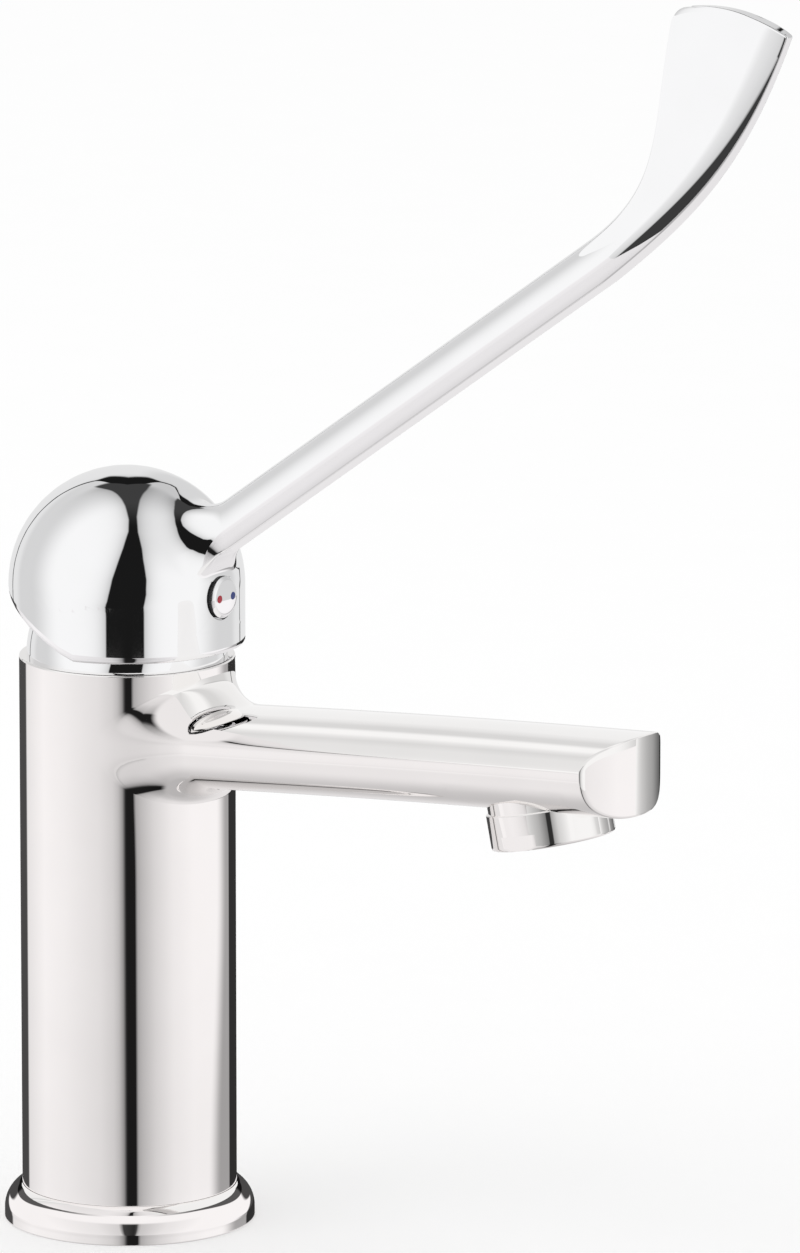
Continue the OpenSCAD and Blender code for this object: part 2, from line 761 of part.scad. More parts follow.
// Sliding disc and its carrier
module moving_disc() {
    pocket_h = over + moving_disc_t / 2;
    color("ivory")
    difference() {
        hole(0, 0, moving_z, moving_disc_t, moving_disc_d);
        for (side = [-1, 1])
            hole(chamber_pocket_x, side * chamber_pocket_y, moving_z - over, pocket_h, chamber_pocket_d);
        translate([chamber_pocket_x - chamber_pocket_d / 2, -chamber_pocket_y, moving_z - over])
        cube([chamber_pocket_d, 2 * chamber_pocket_y, pocket_h]);
        carrier_tabs(fit, over);
    }
}
module carrier_tabs(gap, up) {
    for (side = [-1, 1])
        let (y = side * (moving_r - tab_t / 2) - tab_t / 2 - gap - (side < 0 ? up : 0))
        translate([-tab_w / 2 - gap, y, carrier_z - tab_h - gap])
        cube([tab_w + 2 * gap, tab_t + 2 * gap + up, tab_h + gap + up]);
}
module disc_carrier() {
    color("whitesmoke")
    difference() {
        intersection() {
            union() {
                hole(0, 0, carrier_z, carrier_h, moving_disc_d);
                carrier_tabs(0, 0);
                for (side = [-1, 1])
                    translate([0, side * rib_y, 0])
                    slot_box(-moving_r, moving_r, rib_w, carrier_z, rib_top);
            }
            hole(0, 0, moving_z, moving_disc_t + carrier_h + 2 * rib_h, moving_disc_d);
        }
        hole(0, 0, ball_z - pocket_r, carrier_h, 2 * pocket_r);
        hole(0, 0, ball_z, carrier_h, 2 * pocket_mouth_r);
    }
}

// Stem: a flat blade that the lever grips, with a rod and a ball below the pivot
module stem() {
    color("silver")
    difference() {
        union() {
            translate([-stem_w / 2, -stem_t / 2, pivot_z - stem_w / 2])
            cube([stem_w, stem_t, stem_top - pivot_z + stem_w / 2]);
            hole(0, 0, ball_z, pivot_z - ball_z, rod_d);
            translate([0, 0, ball_z]) sphere(d = ball_d);
        }
        across_y(pivot_z, 2 * stem_t, pin_d + 2 * run_fit);
    }
}

// Lever: dome, arm and paddle in one casting
module dome_profile(r, bottom, edge) {
    intersection() {
        translate([0, dome_z]) circle(r = r);
        translate([0, dome_z]) square(r);
    }
    translate([0, bottom + edge]) square([r, dome_z - bottom - edge]);
    if (edge > 0) {
        translate([0, bottom]) square([r - edge, edge]);
        intersection() {
            translate([r - edge, bottom + edge]) circle(r = edge);
            translate([r - edge, bottom]) square(edge);
        }
    }
}
module lever_handle() {
    grip = stem_w / 2 + run_fit;
    color("gainsboro")
    difference() {
        union() {
            difference() {
                union() {
                    rotate_extrude() dome_profile(dome_r, rim_z, dome_edge_r);
                    skin(lever_rings);
                }
                rotate_extrude() dome_profile(dome_in_r, rim_z - over, 0);
                translate([relief_start, -2 * dome_r, rim_z])
                rotate([0, relief_angle, 0])
                translate([-4 * dome_r, 0, -2 * dome_r])
                cube([4 * dome_r, 4 * dome_r, 2 * dome_r]);
            }
            hole(0, 0, socket_z, socket_top - socket_z, socket_d);
            along_x(0, dome_z, cap_seat_x - fit, screw_boss_d);
        }
        slot_box(-grip, grip, stem_t + 2 * run_fit, rim_z, stem_top + fit);
        along_x(0, dome_z, dome_r, grub_d + 2 * run_fit);
        along_x(cap_seat_x - plug_l - over, dome_z, dome_r, plug_d + 2 * run_fit);
        along_x(cap_seat_x, dome_z, dome_r, cap_d + 2 * cap_gap);
    }
}
module grub_screw() {
    color("dimgray")
    difference() {
        along_x(stem_w / 2, dome_z, grub_l, grub_d);
        translate([stem_w / 2 + grub_l / 2, 0, dome_z])
        rotate([0, 90, 0])
        cylinder(h = grub_l, d = grub_d * 0.6, $fn = 6);
    }
}

// Index cap: a domed button on a plug, with an inlaid mark for hot and one for cold
module index_cap() {
    color("gainsboro")
    difference() {
        translate([cap_seat_x, 0, dome_z])
        rotate([0, 90, 0])
        rotate_extrude()
        polygon([
            [0, -plug_l],
            [plug_d / 2, -plug_l],
            [plug_d / 2, 0],
            [cap_d / 2, 0],
            [cap_d / 2, cap_t / 2],
            [cap_d / 2 - cap_t / 2, cap_t],
            [0, cap_t]
        ]);
        for (side = [-1, 1]) mark_place(side, cap_x - mark_t, over + mark_t, mark_d);
    }
}
module mark_place(side, x, h, d) {
    translate([0, side * mark_pitch / 2, 0]) along_x(x, dome_z, h, d);
}
module hot_mark() {
    color("firebrick") mark_place(-1, cap_x - mark_t, mark_t, mark_d);
}
module cold_mark() {
    color("royalblue") mark_place(1, cap_x - mark_t, mark_t, mark_d);
}

base_ring();
base_seal();
body();
port_seals();
cartridge_base();
disc_seals();
fixed_disc();
cartridge_housing();
bore_seal();
retaining_nut();
neck_shroud();
aerator_housing();
aerator_insert();
aerator_screen();
aerator_washer();
turret();
pivot_pin();
moving_disc();
disc_carrier();
stem();
lever_handle();
grub_screw();
index_cap();
hot_mark();
cold_mark();
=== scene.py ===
import json
from math import acos, atan2, cos, degrees, hypot, pi, radians, sin, sqrt, tan

import bmesh
import bpy
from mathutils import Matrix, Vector


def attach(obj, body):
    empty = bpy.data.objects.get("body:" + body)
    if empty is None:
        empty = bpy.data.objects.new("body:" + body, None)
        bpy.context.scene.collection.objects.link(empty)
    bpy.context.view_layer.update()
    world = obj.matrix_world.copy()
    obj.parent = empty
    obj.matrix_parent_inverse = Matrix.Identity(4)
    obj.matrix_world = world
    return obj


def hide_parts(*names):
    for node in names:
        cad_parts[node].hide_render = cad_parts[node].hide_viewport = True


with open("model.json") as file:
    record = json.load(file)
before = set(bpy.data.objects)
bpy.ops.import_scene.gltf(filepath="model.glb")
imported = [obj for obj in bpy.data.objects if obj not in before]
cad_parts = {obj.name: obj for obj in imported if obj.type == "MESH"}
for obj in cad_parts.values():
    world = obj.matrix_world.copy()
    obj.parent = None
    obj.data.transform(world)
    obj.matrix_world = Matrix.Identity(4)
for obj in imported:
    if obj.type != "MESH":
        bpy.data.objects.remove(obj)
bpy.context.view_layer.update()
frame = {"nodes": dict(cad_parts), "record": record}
mm = 0.001  # sizes of the pieces are in millimetres
scene = bpy.context.scene
scene.view_settings.view_transform = "Standard"


# shader kit: a Wire is a socket that Python adds, subtracts, multiplies and divides
class Wire:
    def __init__(self, desk, socket):
        self.desk = desk
        self.socket = socket

    def __add__(self, other):
        return self.desk.maths("ADD", self, other)

    def __radd__(self, other):
        return self.desk.maths("ADD", other, self)

    def __sub__(self, other):
        return self.desk.maths("SUBTRACT", self, other)

    def __rsub__(self, other):
        return self.desk.maths("SUBTRACT", other, self)

    def __mul__(self, other):
        return self.desk.maths("MULTIPLY", self, other)

    def __rmul__(self, other):
        return self.desk.maths("MULTIPLY", other, self)

    def __truediv__(self, other):
        return self.desk.maths("DIVIDE", self, other)

    def __rtruediv__(self, other):
        return self.desk.maths("DIVIDE", other, self)


class Desk:
    def __init__(self, tree):
        self.tree = tree
        tree.nodes.clear()

    def node(self, kind, settings=None, sockets=None, out=0):
        made = self.tree.nodes.new(kind)
        for key, value in (settings or {}).items():
            if key == "stops":
                self.setStops(made.color_ramp.elements, value)
            else:
                setattr(made, key, value)
        for key, value in (sockets or {}).items():
            if isinstance(value, Wire):
                self.tree.links.new(value.socket, made.inputs[key])
            else:
                made.inputs[key].default_value = value
        return Wire(self, made.outputs[out]) if made.outputs else made

    def setStops(self, elements, stops):
        while len(elements) < len(stops):
            elements.new(1.0)
        for element, (place, level) in zip(elements, stops):
            element.position = place
        for element, (place, level) in zip(elements, stops):
            element.color = (level, level, level, 1)

    def maths(self, operation, *values):
        return self.node("ShaderNodeMath", {"operation": operation}, dict(enumerate(values)))

    def blend(self, share, low, high):  # between two colours
        return self.node("ShaderNodeMix", {"data_type": "RGBA"}, {0: share, 6: low, 7: high}, out=2)

    def rise(self, value, start, end):  # 0 before start, 1 after end
        return self.node("ShaderNodeMapRange", {"interpolation_type": "SMOOTHSTEP"},
                         {0: value, 1: start, 2: end})

    def ramp(self, value, reach, stops, span=None):  # levels at stops, below 0 too where a span is given
        table = [((at + reach) / (2 * reach), (v + span) / (2 * span) if span else v) for at, v in stops]
        made = self.node("ShaderNodeValToRGB", {"stops": table}, {0: (value + reach) / (2 * reach)})
        return made * (2 * span) - span if span else made

    def noise(self, place, scale, detail=3.0):
        return self.node("ShaderNodeTexNoise", {}, {"Vector": place, "Scale": scale, "Detail": detail})


def newFinish(name):
    made = bpy.data.materials.new(name)
    made.use_nodes = True
    desk = Desk(made.node_tree)
    place = desk.node("ShaderNodeTexCoord", out="Object")
    return made, desk, place


def plated(name, look):  # polished plating: faint haze in its gloss, faint ripple of the casting below
    made, desk, place = newFinish(name)
    haze = desk.noise(place, look["hazeScale"])
    ripple = desk.noise(place, look["rippleScale"], 1.0)
    bump = desk.node("ShaderNodeBump", {}, {"Strength": look["ripple"], "Distance": mm, "Height": ripple})
    shader = desk.node("ShaderNodeBsdfPrincipled", {}, {
        "Base Color": desk.blend(haze, look["deep"], look["bright"]),
        "Metallic": 1.0,
        "Roughness": look["gloss"] + look["smear"] * haze,
        "Normal": bump,
    })
    desk.node("ShaderNodeOutputMaterial", {}, {"Surface": shader})
    return made


def moulded(name, look):  # rubber, plastic, ceramic and enamel: mottled colour over a fine grain
    made, desk, place = newFinish(name)
    mottle = desk.noise(place, look["mottleScale"])
    grain = desk.noise(place, look["grainScale"])
    bump = desk.node("ShaderNodeBump", {}, {"Strength": look["grain"], "Distance": 0.1 * mm, "Height": grain})
    shader = desk.node("ShaderNodeBsdfPrincipled", {}, {
        "Base Color": desk.blend(mottle, look["deep"], look["bright"]),
        "Metallic": look.get("metal", 0.0),
        "Roughness": look["gloss"] + look["smear"] * grain,
        "Normal": bump,
    })
    desk.node("ShaderNodeOutputMaterial", {}, {"Surface": shader})
    return made


platings = {
    "bodyChrome": {"deep": (0.90, 0.885, 0.875, 1), "bright": (0.95, 0.935, 0.925, 1)},
    "handleChrome": {"deep": (0.91, 0.91, 0.915, 1), "bright": (0.95, 0.95, 0.96, 1)},
}
for look in platings.values():
    look.update({"hazeScale": 60.0, "rippleScale": 90.0, "ripple": 0.003, "gloss": 0.012, "smear": 0.014})
bodyChrome, handleChrome = [plated(name, look) for name, look in platings.items()]

mouldings = {
    # the same near-black rubber also paints shade on the index cap's side walls
    "sealRubberAndPaintedShade": {"deep": (0.012, 0.012, 0.013, 1), "bright": (0.03, 0.03, 0.032, 1), "mottleScale": 300.0,
                   "grainScale": 2500.0, "grain": 0.4, "gloss": 0.5, "smear": 0.25},
    "whitePlastic": {"deep": (0.78, 0.78, 0.75, 1), "bright": (0.84, 0.84, 0.82, 1), "mottleScale": 90.0,
                     "grainScale": 1800.0, "grain": 0.15, "gloss": 0.32, "smear": 0.15},
    "greyPlastic": {"deep": (0.20, 0.22, 0.25, 1), "bright": (0.26, 0.28, 0.31, 1), "mottleScale": 90.0,
                    "grainScale": 1800.0, "grain": 0.2, "gloss": 0.35, "smear": 0.2},
    "discCeramic": {"deep": (0.80, 0.76, 0.68, 1), "bright": (0.86, 0.83, 0.76, 1), "mottleScale": 220.0,
                    "grainScale": 3000.0, "grain": 0.05, "gloss": 0.12, "smear": 0.1},
    "nutBrass": {"deep": (0.62, 0.42, 0.16, 1), "bright": (0.78, 0.56, 0.25, 1), "mottleScale": 150.0,
                 "grainScale": 900.0, "grain": 0.12, "gloss": 0.22, "smear": 0.2, "metal": 1.0},
    "plainSteel": {"deep": (0.48, 0.48, 0.49, 1), "bright": (0.62, 0.62, 0.62, 1), "mottleScale": 200.0,
                   "grainScale": 1200.0, "grain": 0.1, "gloss": 0.22, "smear": 0.15, "metal": 1.0},
    "hotEnamel": {"deep": (0.30, 0.006, 0.02, 1), "bright": (0.42, 0.012, 0.03, 1), "mottleScale": 500.0,
                  "grainScale": 3000.0, "grain": 0.03, "gloss": 0.12, "smear": 0.08},
    "coldEnamel": {"deep": (0.012, 0.025, 0.14, 1), "bright": (0.02, 0.045, 0.22, 1), "mottleScale": 500.0,
                   "grainScale": 3000.0, "grain": 0.03, "gloss": 0.12, "smear": 0.08},
}
finishes = {name: moulded(name, look) for name, look in mouldings.items()}

slotFinish = {
    "chrome_plate": bodyChrome, "nut_brass": finishes["nutBrass"], "seal_rubber": finishes["sealRubberAndPaintedShade"],
    "white_plastic": finishes["whitePlastic"], "grey_plastic": finishes["greyPlastic"],
    "disc_ceramic": finishes["discCeramic"], "plain_steel": finishes["plainSteel"],
    "hot_red": finishes["hotEnamel"], "cold_blue": finishes["coldEnamel"],
}
for row in frame["record"]["subparts"]:  # every node of the frame gets its slot's finish
    node = frame["nodes"][row["node"]]
    node.data.materials.clear()
    node.data.materials.append(slotFinish[row["material_slot"]])
print("finishes:", len(slotFinish) + 1)


# plain helpers
def mix(a, b, t):
    return a + (b - a) * t


def clamp01(t):
    return max(0.0, min(1.0, t))


def ease(t):
    t = clamp01(t)
    return t * t * (3 - 2 * t)


def signedPower(value, power):
    return abs(value) ** power * (1 if value >= 0 else -1)


def bend(start, corner, end, t):  # a quadratic curve round a corner
    return mix(mix(start, corner, t), mix(corner, end, t), t)


def cubic(points, t):
    a, b, c, d = points
    return a * (1 - t) ** 3 + b * 3 * t * (1 - t) ** 2 + c * 3 * t * t * (1 - t) + d * t ** 3


def steps(count):  # 0 to 1, both ends in
    return [i / count for i in range(count + 1)]


class Skin:  # a mesh made of rings of points
    def __init__(self):
        self.bm = bmesh.new()

    def ring(self, points):
        return [self.bm.verts.new(Vector(p) * mm) for p in points]

    def quad(self, *corners):
        self.bm.faces.new(corners)

    def loft(self, rows, closed=True, skip=None):
        rings = [self.ring(row) for row in rows]
        for i, (a, b) in enumerate(zip(rings, rings[1:])):
            for k in range(len(a) if closed else len(a) - 1):
                if skip is None or not skip(i, k):
                    n = (k + 1) % len(a)
                    self.quad(a[k], a[n], b[n], b[k])
        return rings

    def cap(self, ring, middle):
        tip = self.bm.verts.new(Vector(middle) * mm)
        for k in range(len(ring)):
            self.bm.faces.new((ring[k], ring[(k + 1) % len(ring)], tip))

    def fold(self, ring):  # closes a ring whose two halves mirror each other
        n = len(ring)
        for k in range(n // 2):
            corners = [ring[k], ring[k + 1], ring[(n - k - 1) % n], ring[-k % n]]
            self.bm.faces.new(list(dict.fromkeys(corners)))

    def fill(self, rings):  # a flat face with holes
        edges = []
        for ring in rings:
            edges += [self.bm.edges.new((ring[k], ring[(k + 1) % len(ring)])) for k in range(len(ring))]
        bmesh.ops.triangle_fill(self.bm, use_beauty=True, edges=edges)

    def mesh(self, name, crease=38):
        weld = 0.0005 * mm
        bmesh.ops.remove_doubles(self.bm, verts=self.bm.verts, dist=weld)
        bmesh.ops.dissolve_degenerate(self.bm, dist=weld, edges=self.bm.edges)
        bmesh.ops.recalc_face_normals(self.bm, faces=self.bm.faces)
        made = bpy.data.meshes.new(name)
        self.bm.to_mesh(made)
        self.bm.free()
        made.polygons.foreach_set("use_smooth", [True] * len(made.polygons))
        made.set_sharp_from_angle(angle=radians(crease))
        return made


def addPiece(name, skin, finish, body, slotName, *nodes):
    made = bpy.data.objects.new(name, skin.mesh(name))
    scene.collection.objects.link(made)
    made.data.materials.append(finish)
    shade = made.modifiers.new("flatFaces", "WEIGHTED_NORMAL")  # large faces keep their own shading
    shade.mode = "FACE_AREA"
    shade.weight = 50
    shade.keep_sharp = True
    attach(made, body)
    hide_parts(*nodes)
    print("piece:", name, len(made.data.polygons), "faces")
    return made


def trueRound(piece, radius, low, high):  # shades the column's face straight out from its axis
    closeBy = 0.001
    view = piece.evaluated_get(bpy.context.evaluated_depsgraph_get())
    normals = [Vector(corner.vector) for corner in view.to_mesh().corner_normals]
    view.to_mesh_clear()
    for loop in piece.data.loops:
        place = piece.data.vertices[loop.vertex_index].co / mm
        out = Vector((place.x, place.y, 0))
        if abs(out.length - radius) < closeBy and low < place.z < high:
            normals[loop.index] = out.normalized()
    piece.modifiers.clear()
    piece.data.normals_split_custom_set(normals)


def roundedPath(corners, arcSteps=5):  # corners are (radius, height, rounding)
    path = []
    count = len(corners)
    for i, (r, h, rounding) in enumerate(corners):
        here = Vector((r, h))
        if not rounding:
            path.append(here)
            continue
        back = (Vector(corners[i - 1][:2]) - here).normalized()
        ahead = (Vector(corners[(i + 1) % count][:2]) - here).normalized()
        path += [bend(here + back * rounding, here, here + ahead * rounding, t) for t in steps(arcSteps)]
    return path


def turn(skin, path, angles, place):  # a closed outline turned about an axis
    rows = [[place(p.x, a, p.y) for a in angles] for p in path]
    skin.loft(rows + rows[:1])


def circleAngles(count):
    return [2 * pi * i / count for i in range(count)]


def upright(r, angle, h):
    return r * cos(angle), r * sin(angle), h


def rotated(r, angle, h):  # about an axis along X at the dome's middle
    return h, r * cos(angle), dome["middle"] + r * sin(angle)


# column and spout
column = {
    "radius": 23.5, "foot": 2.0, "height": 126.0, "footRound": 0.3, "rimRound": 0.45,
    "hollowRadius": 19.5, "bulkhead": 76.0, "chamberFloor": 91.0, "chamberRadius": 17.6,
    "shoulder": 120.5, "nutRadius": 20.0, "nutRound": 0.3, "hollowRows": (0.4, 0.8), "holeSides": 40,
    "drillTip": 0.3,
    "patchHalf": 78, "patchLow": 93.2, "patchHigh": 125.2, "patchRows": 9, "backSteps": 88, "lowRows": 28,
}
spout = {
    "reach": 112.3, "nose": 22.3, "width": 30.5, "height": 17.2, "waist": 6.3, "drop": 9.1, "rise": 7.8,
    "arch": 0.52, "fillet": 7.0, "lowFillet": 3.5, "endBulge": 5.4, "topPower": 2.25, "lowPower": 2.8,
    "sides": 128, "filletSteps": 14, "runSteps": 52, "endRound": 0.45, "endSteps": 5, "faceSteps": 10,
}
outlet = {
    "tilt": 12, "seatSink": 0.6, "threadRadius": 11.5, "threadDepth": 7.0, "collarRadius": 12.8,
    "recessRadius": 13.65, "blockFrom": 33, "blockTo": 49, "blockSides": (70, 122), "blockRows": 7,
}
inlets = [(3.0, 8.5, 4.5, 10.0), (3.0, -8.5, 4.5, 10.0), (-11.5, 0.0, 3.4, 11.0)]  # x, y, radius, depth
aerator = {
    "radius": 13.35, "height": 7.8, "chamfer": 0.8, "neckRadius": 11.4, "neckHeight": 5.5,
    "insertRadius": 9.6, "lipRadius": 8.8, "lip": 1.0, "flatWidth": 8.0, "flatHeight": 3.3, "edgeRound": 0.25,
    "ledgeStep": 0.01, "roundSteps": 30, "flatSteps": 8,
}
spoutTip = spout["reach"] + spout["nose"]
spoutStart = column["radius"] + spout["fillet"]


def spoutLine(x):
    s = (x - column["radius"]) / (spoutTip - column["radius"])
    top = column["height"] - spout["drop"]
    return top + spout["rise"] * s + 4 * spout["arch"] * s * (1 - s)


def spoutLift(x):
    return 1 - sqrt(1 - clamp01(1 - (x - column["radius"]) / spout["fillet"]) ** 2)


def spoutX(x, y):  # a root ring wraps the column, an end ring follows the bulged end
    t = clamp01((x - spoutStart) / (spoutTip - spoutStart))
    wrapped = sqrt(max(x * x - y * y, 0))
    return mix(x, wrapped, (1 - t) ** 2) - t * t * spout["endBulge"] * (2 * y / spout["width"]) ** 2


def spoutPoint(x, angle, shrink=1.0):
    lift = spoutLift(x)
    upper = sin(angle) >= 0
    power = 2 / (spout["topPower"] if upper else spout["lowPower"])
    upRise = spout["waist"] + spout["fillet"] * lift
    lowRise = spout["height"] - spout["waist"] + spout["lowFillet"] * lift
    y = (spout["width"] / 2 + spout["fillet"] * lift) * signedPower(cos(angle), power) * shrink
    z = (upRise if upper else lowRise) * signedPower(sin(angle), power) * shrink
    return Vector((spoutX(x, y), y, spoutLine(x) - spout["waist"] + z))


def spoutUnder(place):  # where a point lies on the spout's lower half: its x and angle there, and its height
    x = place.x
    for _ in range(6):  # closes in on x
        x += place.x - spoutX(x, place.y)
    across = min(abs(2 * place.y / spout["width"]), 1) ** (spout["lowPower"] / 2)
    angle = atan2(-sqrt(1 - across * across), across if place.y >= 0 else -across) % (2 * pi)
    return x, angle, spoutPoint(x, angle).z


seatX = spout["reach"] - aerator["height"] * sin(radians(outlet["tilt"]))
outletSeat = Vector((seatX, 0, spoutLine(seatX) - spout["height"] + outlet["seatSink"]))
outletUp = Vector((-sin(radians(outlet["tilt"])), 0, cos(radians(outlet["tilt"]))))
outletSide = Vector((0, 1, 0))
outletFront = outletSide.cross(outletUp)


def atOutlet(r, angle, h):
    return outletSeat + outletFront * (r * cos(angle)) + outletSide * (r * sin(angle)) + outletUp * h


def outletHit(r, angle):  # height above the seat where that line meets the spout's underside
    h = 0.0
    for _ in range(12):  # closes in on h
        place = atOutlet(r, angle, h)
        h -= place.z - spoutUnder(place)[2]
    return h


def buildBody():
    skin = Skin()
    sides = spout["sides"]
    quarter = sides // 4
    half = radians(column["patchHalf"])
    low, high = column["patchLow"], column["patchHigh"]
    radius = column["radius"]
    front = [mix(-half, half, t) for t in steps(quarter)]
    back = [mix(half, 2 * pi - half, t) for t in steps(column["backSteps"])]
    around = front[:-1] + back[:-1]

    foot, top = column["foot"], column["height"]
    footPath = [(column["hollowRadius"], column["bulkhead"])]
    footPath += [(column["hollowRadius"], mix(column["bulkhead"], foot, t)) for t in column["hollowRows"]]
    footCorners = [(column["hollowRadius"], low, 0), (column["hollowRadius"], foot, column["footRound"]),
                   (radius, foot, column["footRound"]), (radius, low, 0)]
    footPath += [tuple(p) for p in roundedPath(footCorners)[1:-1]]
    footPath += [(radius, mix(foot + 2 * column["footRound"], low, t)) for t in steps(column["lowRows"])]
    lowRings = skin.loft([[upright(r, a, z) for a in around] for r, z in footPath])

    rimCorners = [
        (radius, high, 0), (radius, top, column["rimRound"]), (column["nutRadius"], top, column["nutRound"]),
        (column["nutRadius"], column["shoulder"], 0), (column["chamberRadius"], column["shoulder"], 0),
        (column["chamberRadius"], column["chamberFloor"], 0),
    ]
    highRings = skin.loft([[upright(p.x, a, p.y) for a in around] for p in roundedPath(rimCorners)])
    skin.cap(highRings[-1], (0, 0, column["chamberFloor"]))

    holes = [lowRings[0]]  # the bulkhead's underside, with its threaded holes
    for x, y, holeRadius, depth in inlets:
        circle = circleAngles(column["holeSides"])
        rows = [[(x + holeRadius * cos(a), y + holeRadius * sin(a), column["bulkhead"] + h) for a in circle]
                for h in (0, depth)]
        rings = skin.loft(rows)
        skin.cap(rings[1], (x, y, column["bulkhead"] + depth + column["drillTip"] * holeRadius))
        holes.append(rings[0])
    skin.fill([skin.ring([v.co / mm for v in ring]) for ring in holes])

    rowsBack = [[upright(radius, a, mix(low, high, t)) for a in back] for t in steps(quarter)]
    skin.loft(rowsBack, closed=False)

    angles = circleAngles(sides)
    corners = [(half, low), (half, high), (-half, high), (-half, low)]
    frameRing = []  # the patch's border, point for point beside the spout's root ring
    for k in range(sides):
        side, part = divmod((k + sides // 8) % sides, quarter)
        start, end = corners[side], corners[(side + 1) % 4]
        frameRing.append((mix(start[0], end[0], part / quarter), mix(start[1], end[1], part / quarter)))
    rootRing = [spoutPoint(radius, a) for a in angles]
    rootRing = [(atan2(p.y, p.x), p.z) for p in rootRing]
    rows = []
    for t in steps(column["patchRows"]):
        share = 1 - t * (2 - t)
        rows.append([upright(radius, mix(r[0], f[0], share), mix(r[1], f[1], share))
                     for r, f in zip(rootRing, frameRing)])

    filletAngles = [pi / 2 * i / spout["filletSteps"] for i in range(1, spout["filletSteps"] + 1)]
    runEnd = spoutTip - spout["endRound"]
    stations = [radius + spout["fillet"] * (1 - cos(b)) for b in filletAngles]
    runStations = [mix(spoutStart, runEnd, t) for t in steps(spout["runSteps"])]
    firstRun = len(rows) + len(stations) - 1
    stations += runStations[1:]
    rows += [[spoutPoint(x, a) for a in angles] for x in stations]
    inset = 1 - spout["endRound"] / (spout["height"] / 2)
    for t in steps(spout["endSteps"])[1:]:
        rows.append([bend(spoutPoint(runEnd, a), spoutPoint(spoutTip, a), spoutPoint(spoutTip, a, inset), t)
                     for a in angles])
    iFrom, iTo = outlet["blockFrom"], outlet["blockTo"]
    kFrom, kTo = outlet["blockSides"]

    def inBlock(i, k):
        return firstRun + iFrom <= i < firstRun + iTo and kFrom <= k < kTo
    skin.loft(rows, skip=inBlock)
    rows = []  # the end face, in strips from its upper edge to its lower
    for k in range(sides // 2 + 1):
        upper, lower = [spoutPoint(spoutTip, angles[i % sides], inset) for i in (k, sides - k)]
        strip = [mix(upper, lower, t) for t in steps(spout["faceSteps"])]
        rows.append([Vector((spoutX(spoutTip, p.y), p.y, p.z)) for p in strip])
    skin.loft(rows, closed=False)

    edge = [(iFrom, k) for k in range(kFrom, kTo)] + [(i, kTo) for i in range(iFrom, iTo)]
    edge += [(iTo, k) for k in range(kTo, kFrom, -1)] + [(i, kFrom) for i in range(iTo, iFrom, -1)]
    border = [(runStations[i], angles[k]) for i, k in edge]
    bearing = []
    for x, a in border:
        away = spoutPoint(x, a) - outletSeat
        bearing.append(atan2(away.dot(outletSide), away.dot(outletFront)))
    recess, collar = outlet["recessRadius"], outlet["collarRadius"]
    recessHit = [outletHit(recess, b) for b in bearing]
    collarHit = [outletHit(collar, b) for b in bearing]
    circle = [spoutUnder(atOutlet(recess, b, h)) for b, h in zip(bearing, recessHit)]
    rows = [[spoutPoint(mix(e[0], c[0], t), mix(e[1], c[1], t)) for e, c in zip(border, circle)]
            for t in steps(outlet["blockRows"])]
    rows.append([atOutlet(recess, b, max(h, 0)) for b, h in zip(bearing, recessHit)])
    rows.append([atOutlet(collar, b, max(h, 0)) for b, h in zip(bearing, collarHit)])
    rows.append([atOutlet(collar, b, 0) for b in bearing])
    rows.append([atOutlet(outlet["threadRadius"], b, 0) for b in bearing])
    rows.append([atOutlet(outlet["threadRadius"], b, outlet["threadDepth"]) for b in bearing])
    rings = skin.loft(rows)
    skin.cap(rings[-1], atOutlet(0, 0, outlet["threadDepth"]))
    made = addPiece("spoutBody", skin, bodyChrome, "fixed_body", "chrome_plate", "body")
    trueRound(made, radius, foot + column["footRound"], top - column["rimRound"])


def buildAerator():
    skin = Skin()
    reach = sqrt(aerator["radius"] ** 2 - (aerator["flatWidth"] / 2) ** 2)
    edge = aerator["edgeRound"]
    ledge = aerator["flatHeight"] - aerator["height"]
    bottom = -aerator["height"]
    corners = [
        (aerator["lipRadius"], bottom, edge), (aerator["radius"], bottom, aerator["chamfer"]),
        (aerator["radius"], ledge, 0), (aerator["radius"], ledge + aerator["ledgeStep"], 0),
        (aerator["radius"], 0, edge),
        (aerator["neckRadius"], 0, 0), (aerator["neckRadius"], aerator["neckHeight"], 0),
        (aerator["insertRadius"], aerator["neckHeight"], 0),
        (aerator["insertRadius"], aerator["lip"] + bottom, 0),
        (aerator["lipRadius"], aerator["lip"] + bottom, 0),
    ]
    flatStart = atan2(reach, aerator["flatWidth"] / 2)
    angles = []
    for quarter in range(4):  # each quarter turn has a point at the flat's end
        stops = [flatStart * t for t in steps(aerator["roundSteps"])]
        stops += [mix(flatStart, pi / 2, t) for t in steps(aerator["flatSteps"])[1:]]
        if quarter % 2:
            stops = [pi / 2 - s for s in reversed(stops)]
        angles += [quarter * pi / 2 + s for s in stops[:-1]]

    def place(r, angle, h):
        point = atOutlet(r, angle, h)
        if h < ledge + aerator["ledgeStep"] / 2:
            point.y = max(-reach, min(reach, point.y))
        return point
    turn(skin, roundedPath(corners), angles, place)
    addPiece("aeratorRing", skin, bodyChrome, "fixed_body", "chrome_plate", "aerator_housing")


buildBody()
buildAerator()


# base ring and neck shroud
baseRing = {
    "radius": 27.4, "height": 8.0, "edge": 2.1, "lip": 2.0, "bore": 23.6, "lipRadius": 19.5,
    "grooveRadius": 25.5, "grooveHalf": 1.1, "grooveDepth": 2.0, "round": 0.35, "lipRound": 0.2,
    "arcSteps": 18, "around": 160,
}
shroud = {
    "footRadius": 21.9, "foot": 126.0, "height": 7.4, "sheet": 1.0, "mouthRadius": 16.0, "mouthRound": 0.25,
    "shoulder": 0.4, "shoulderIn": 0.35, "shoulderRound": 0.3, "arcSteps": 10, "around": 160,
}


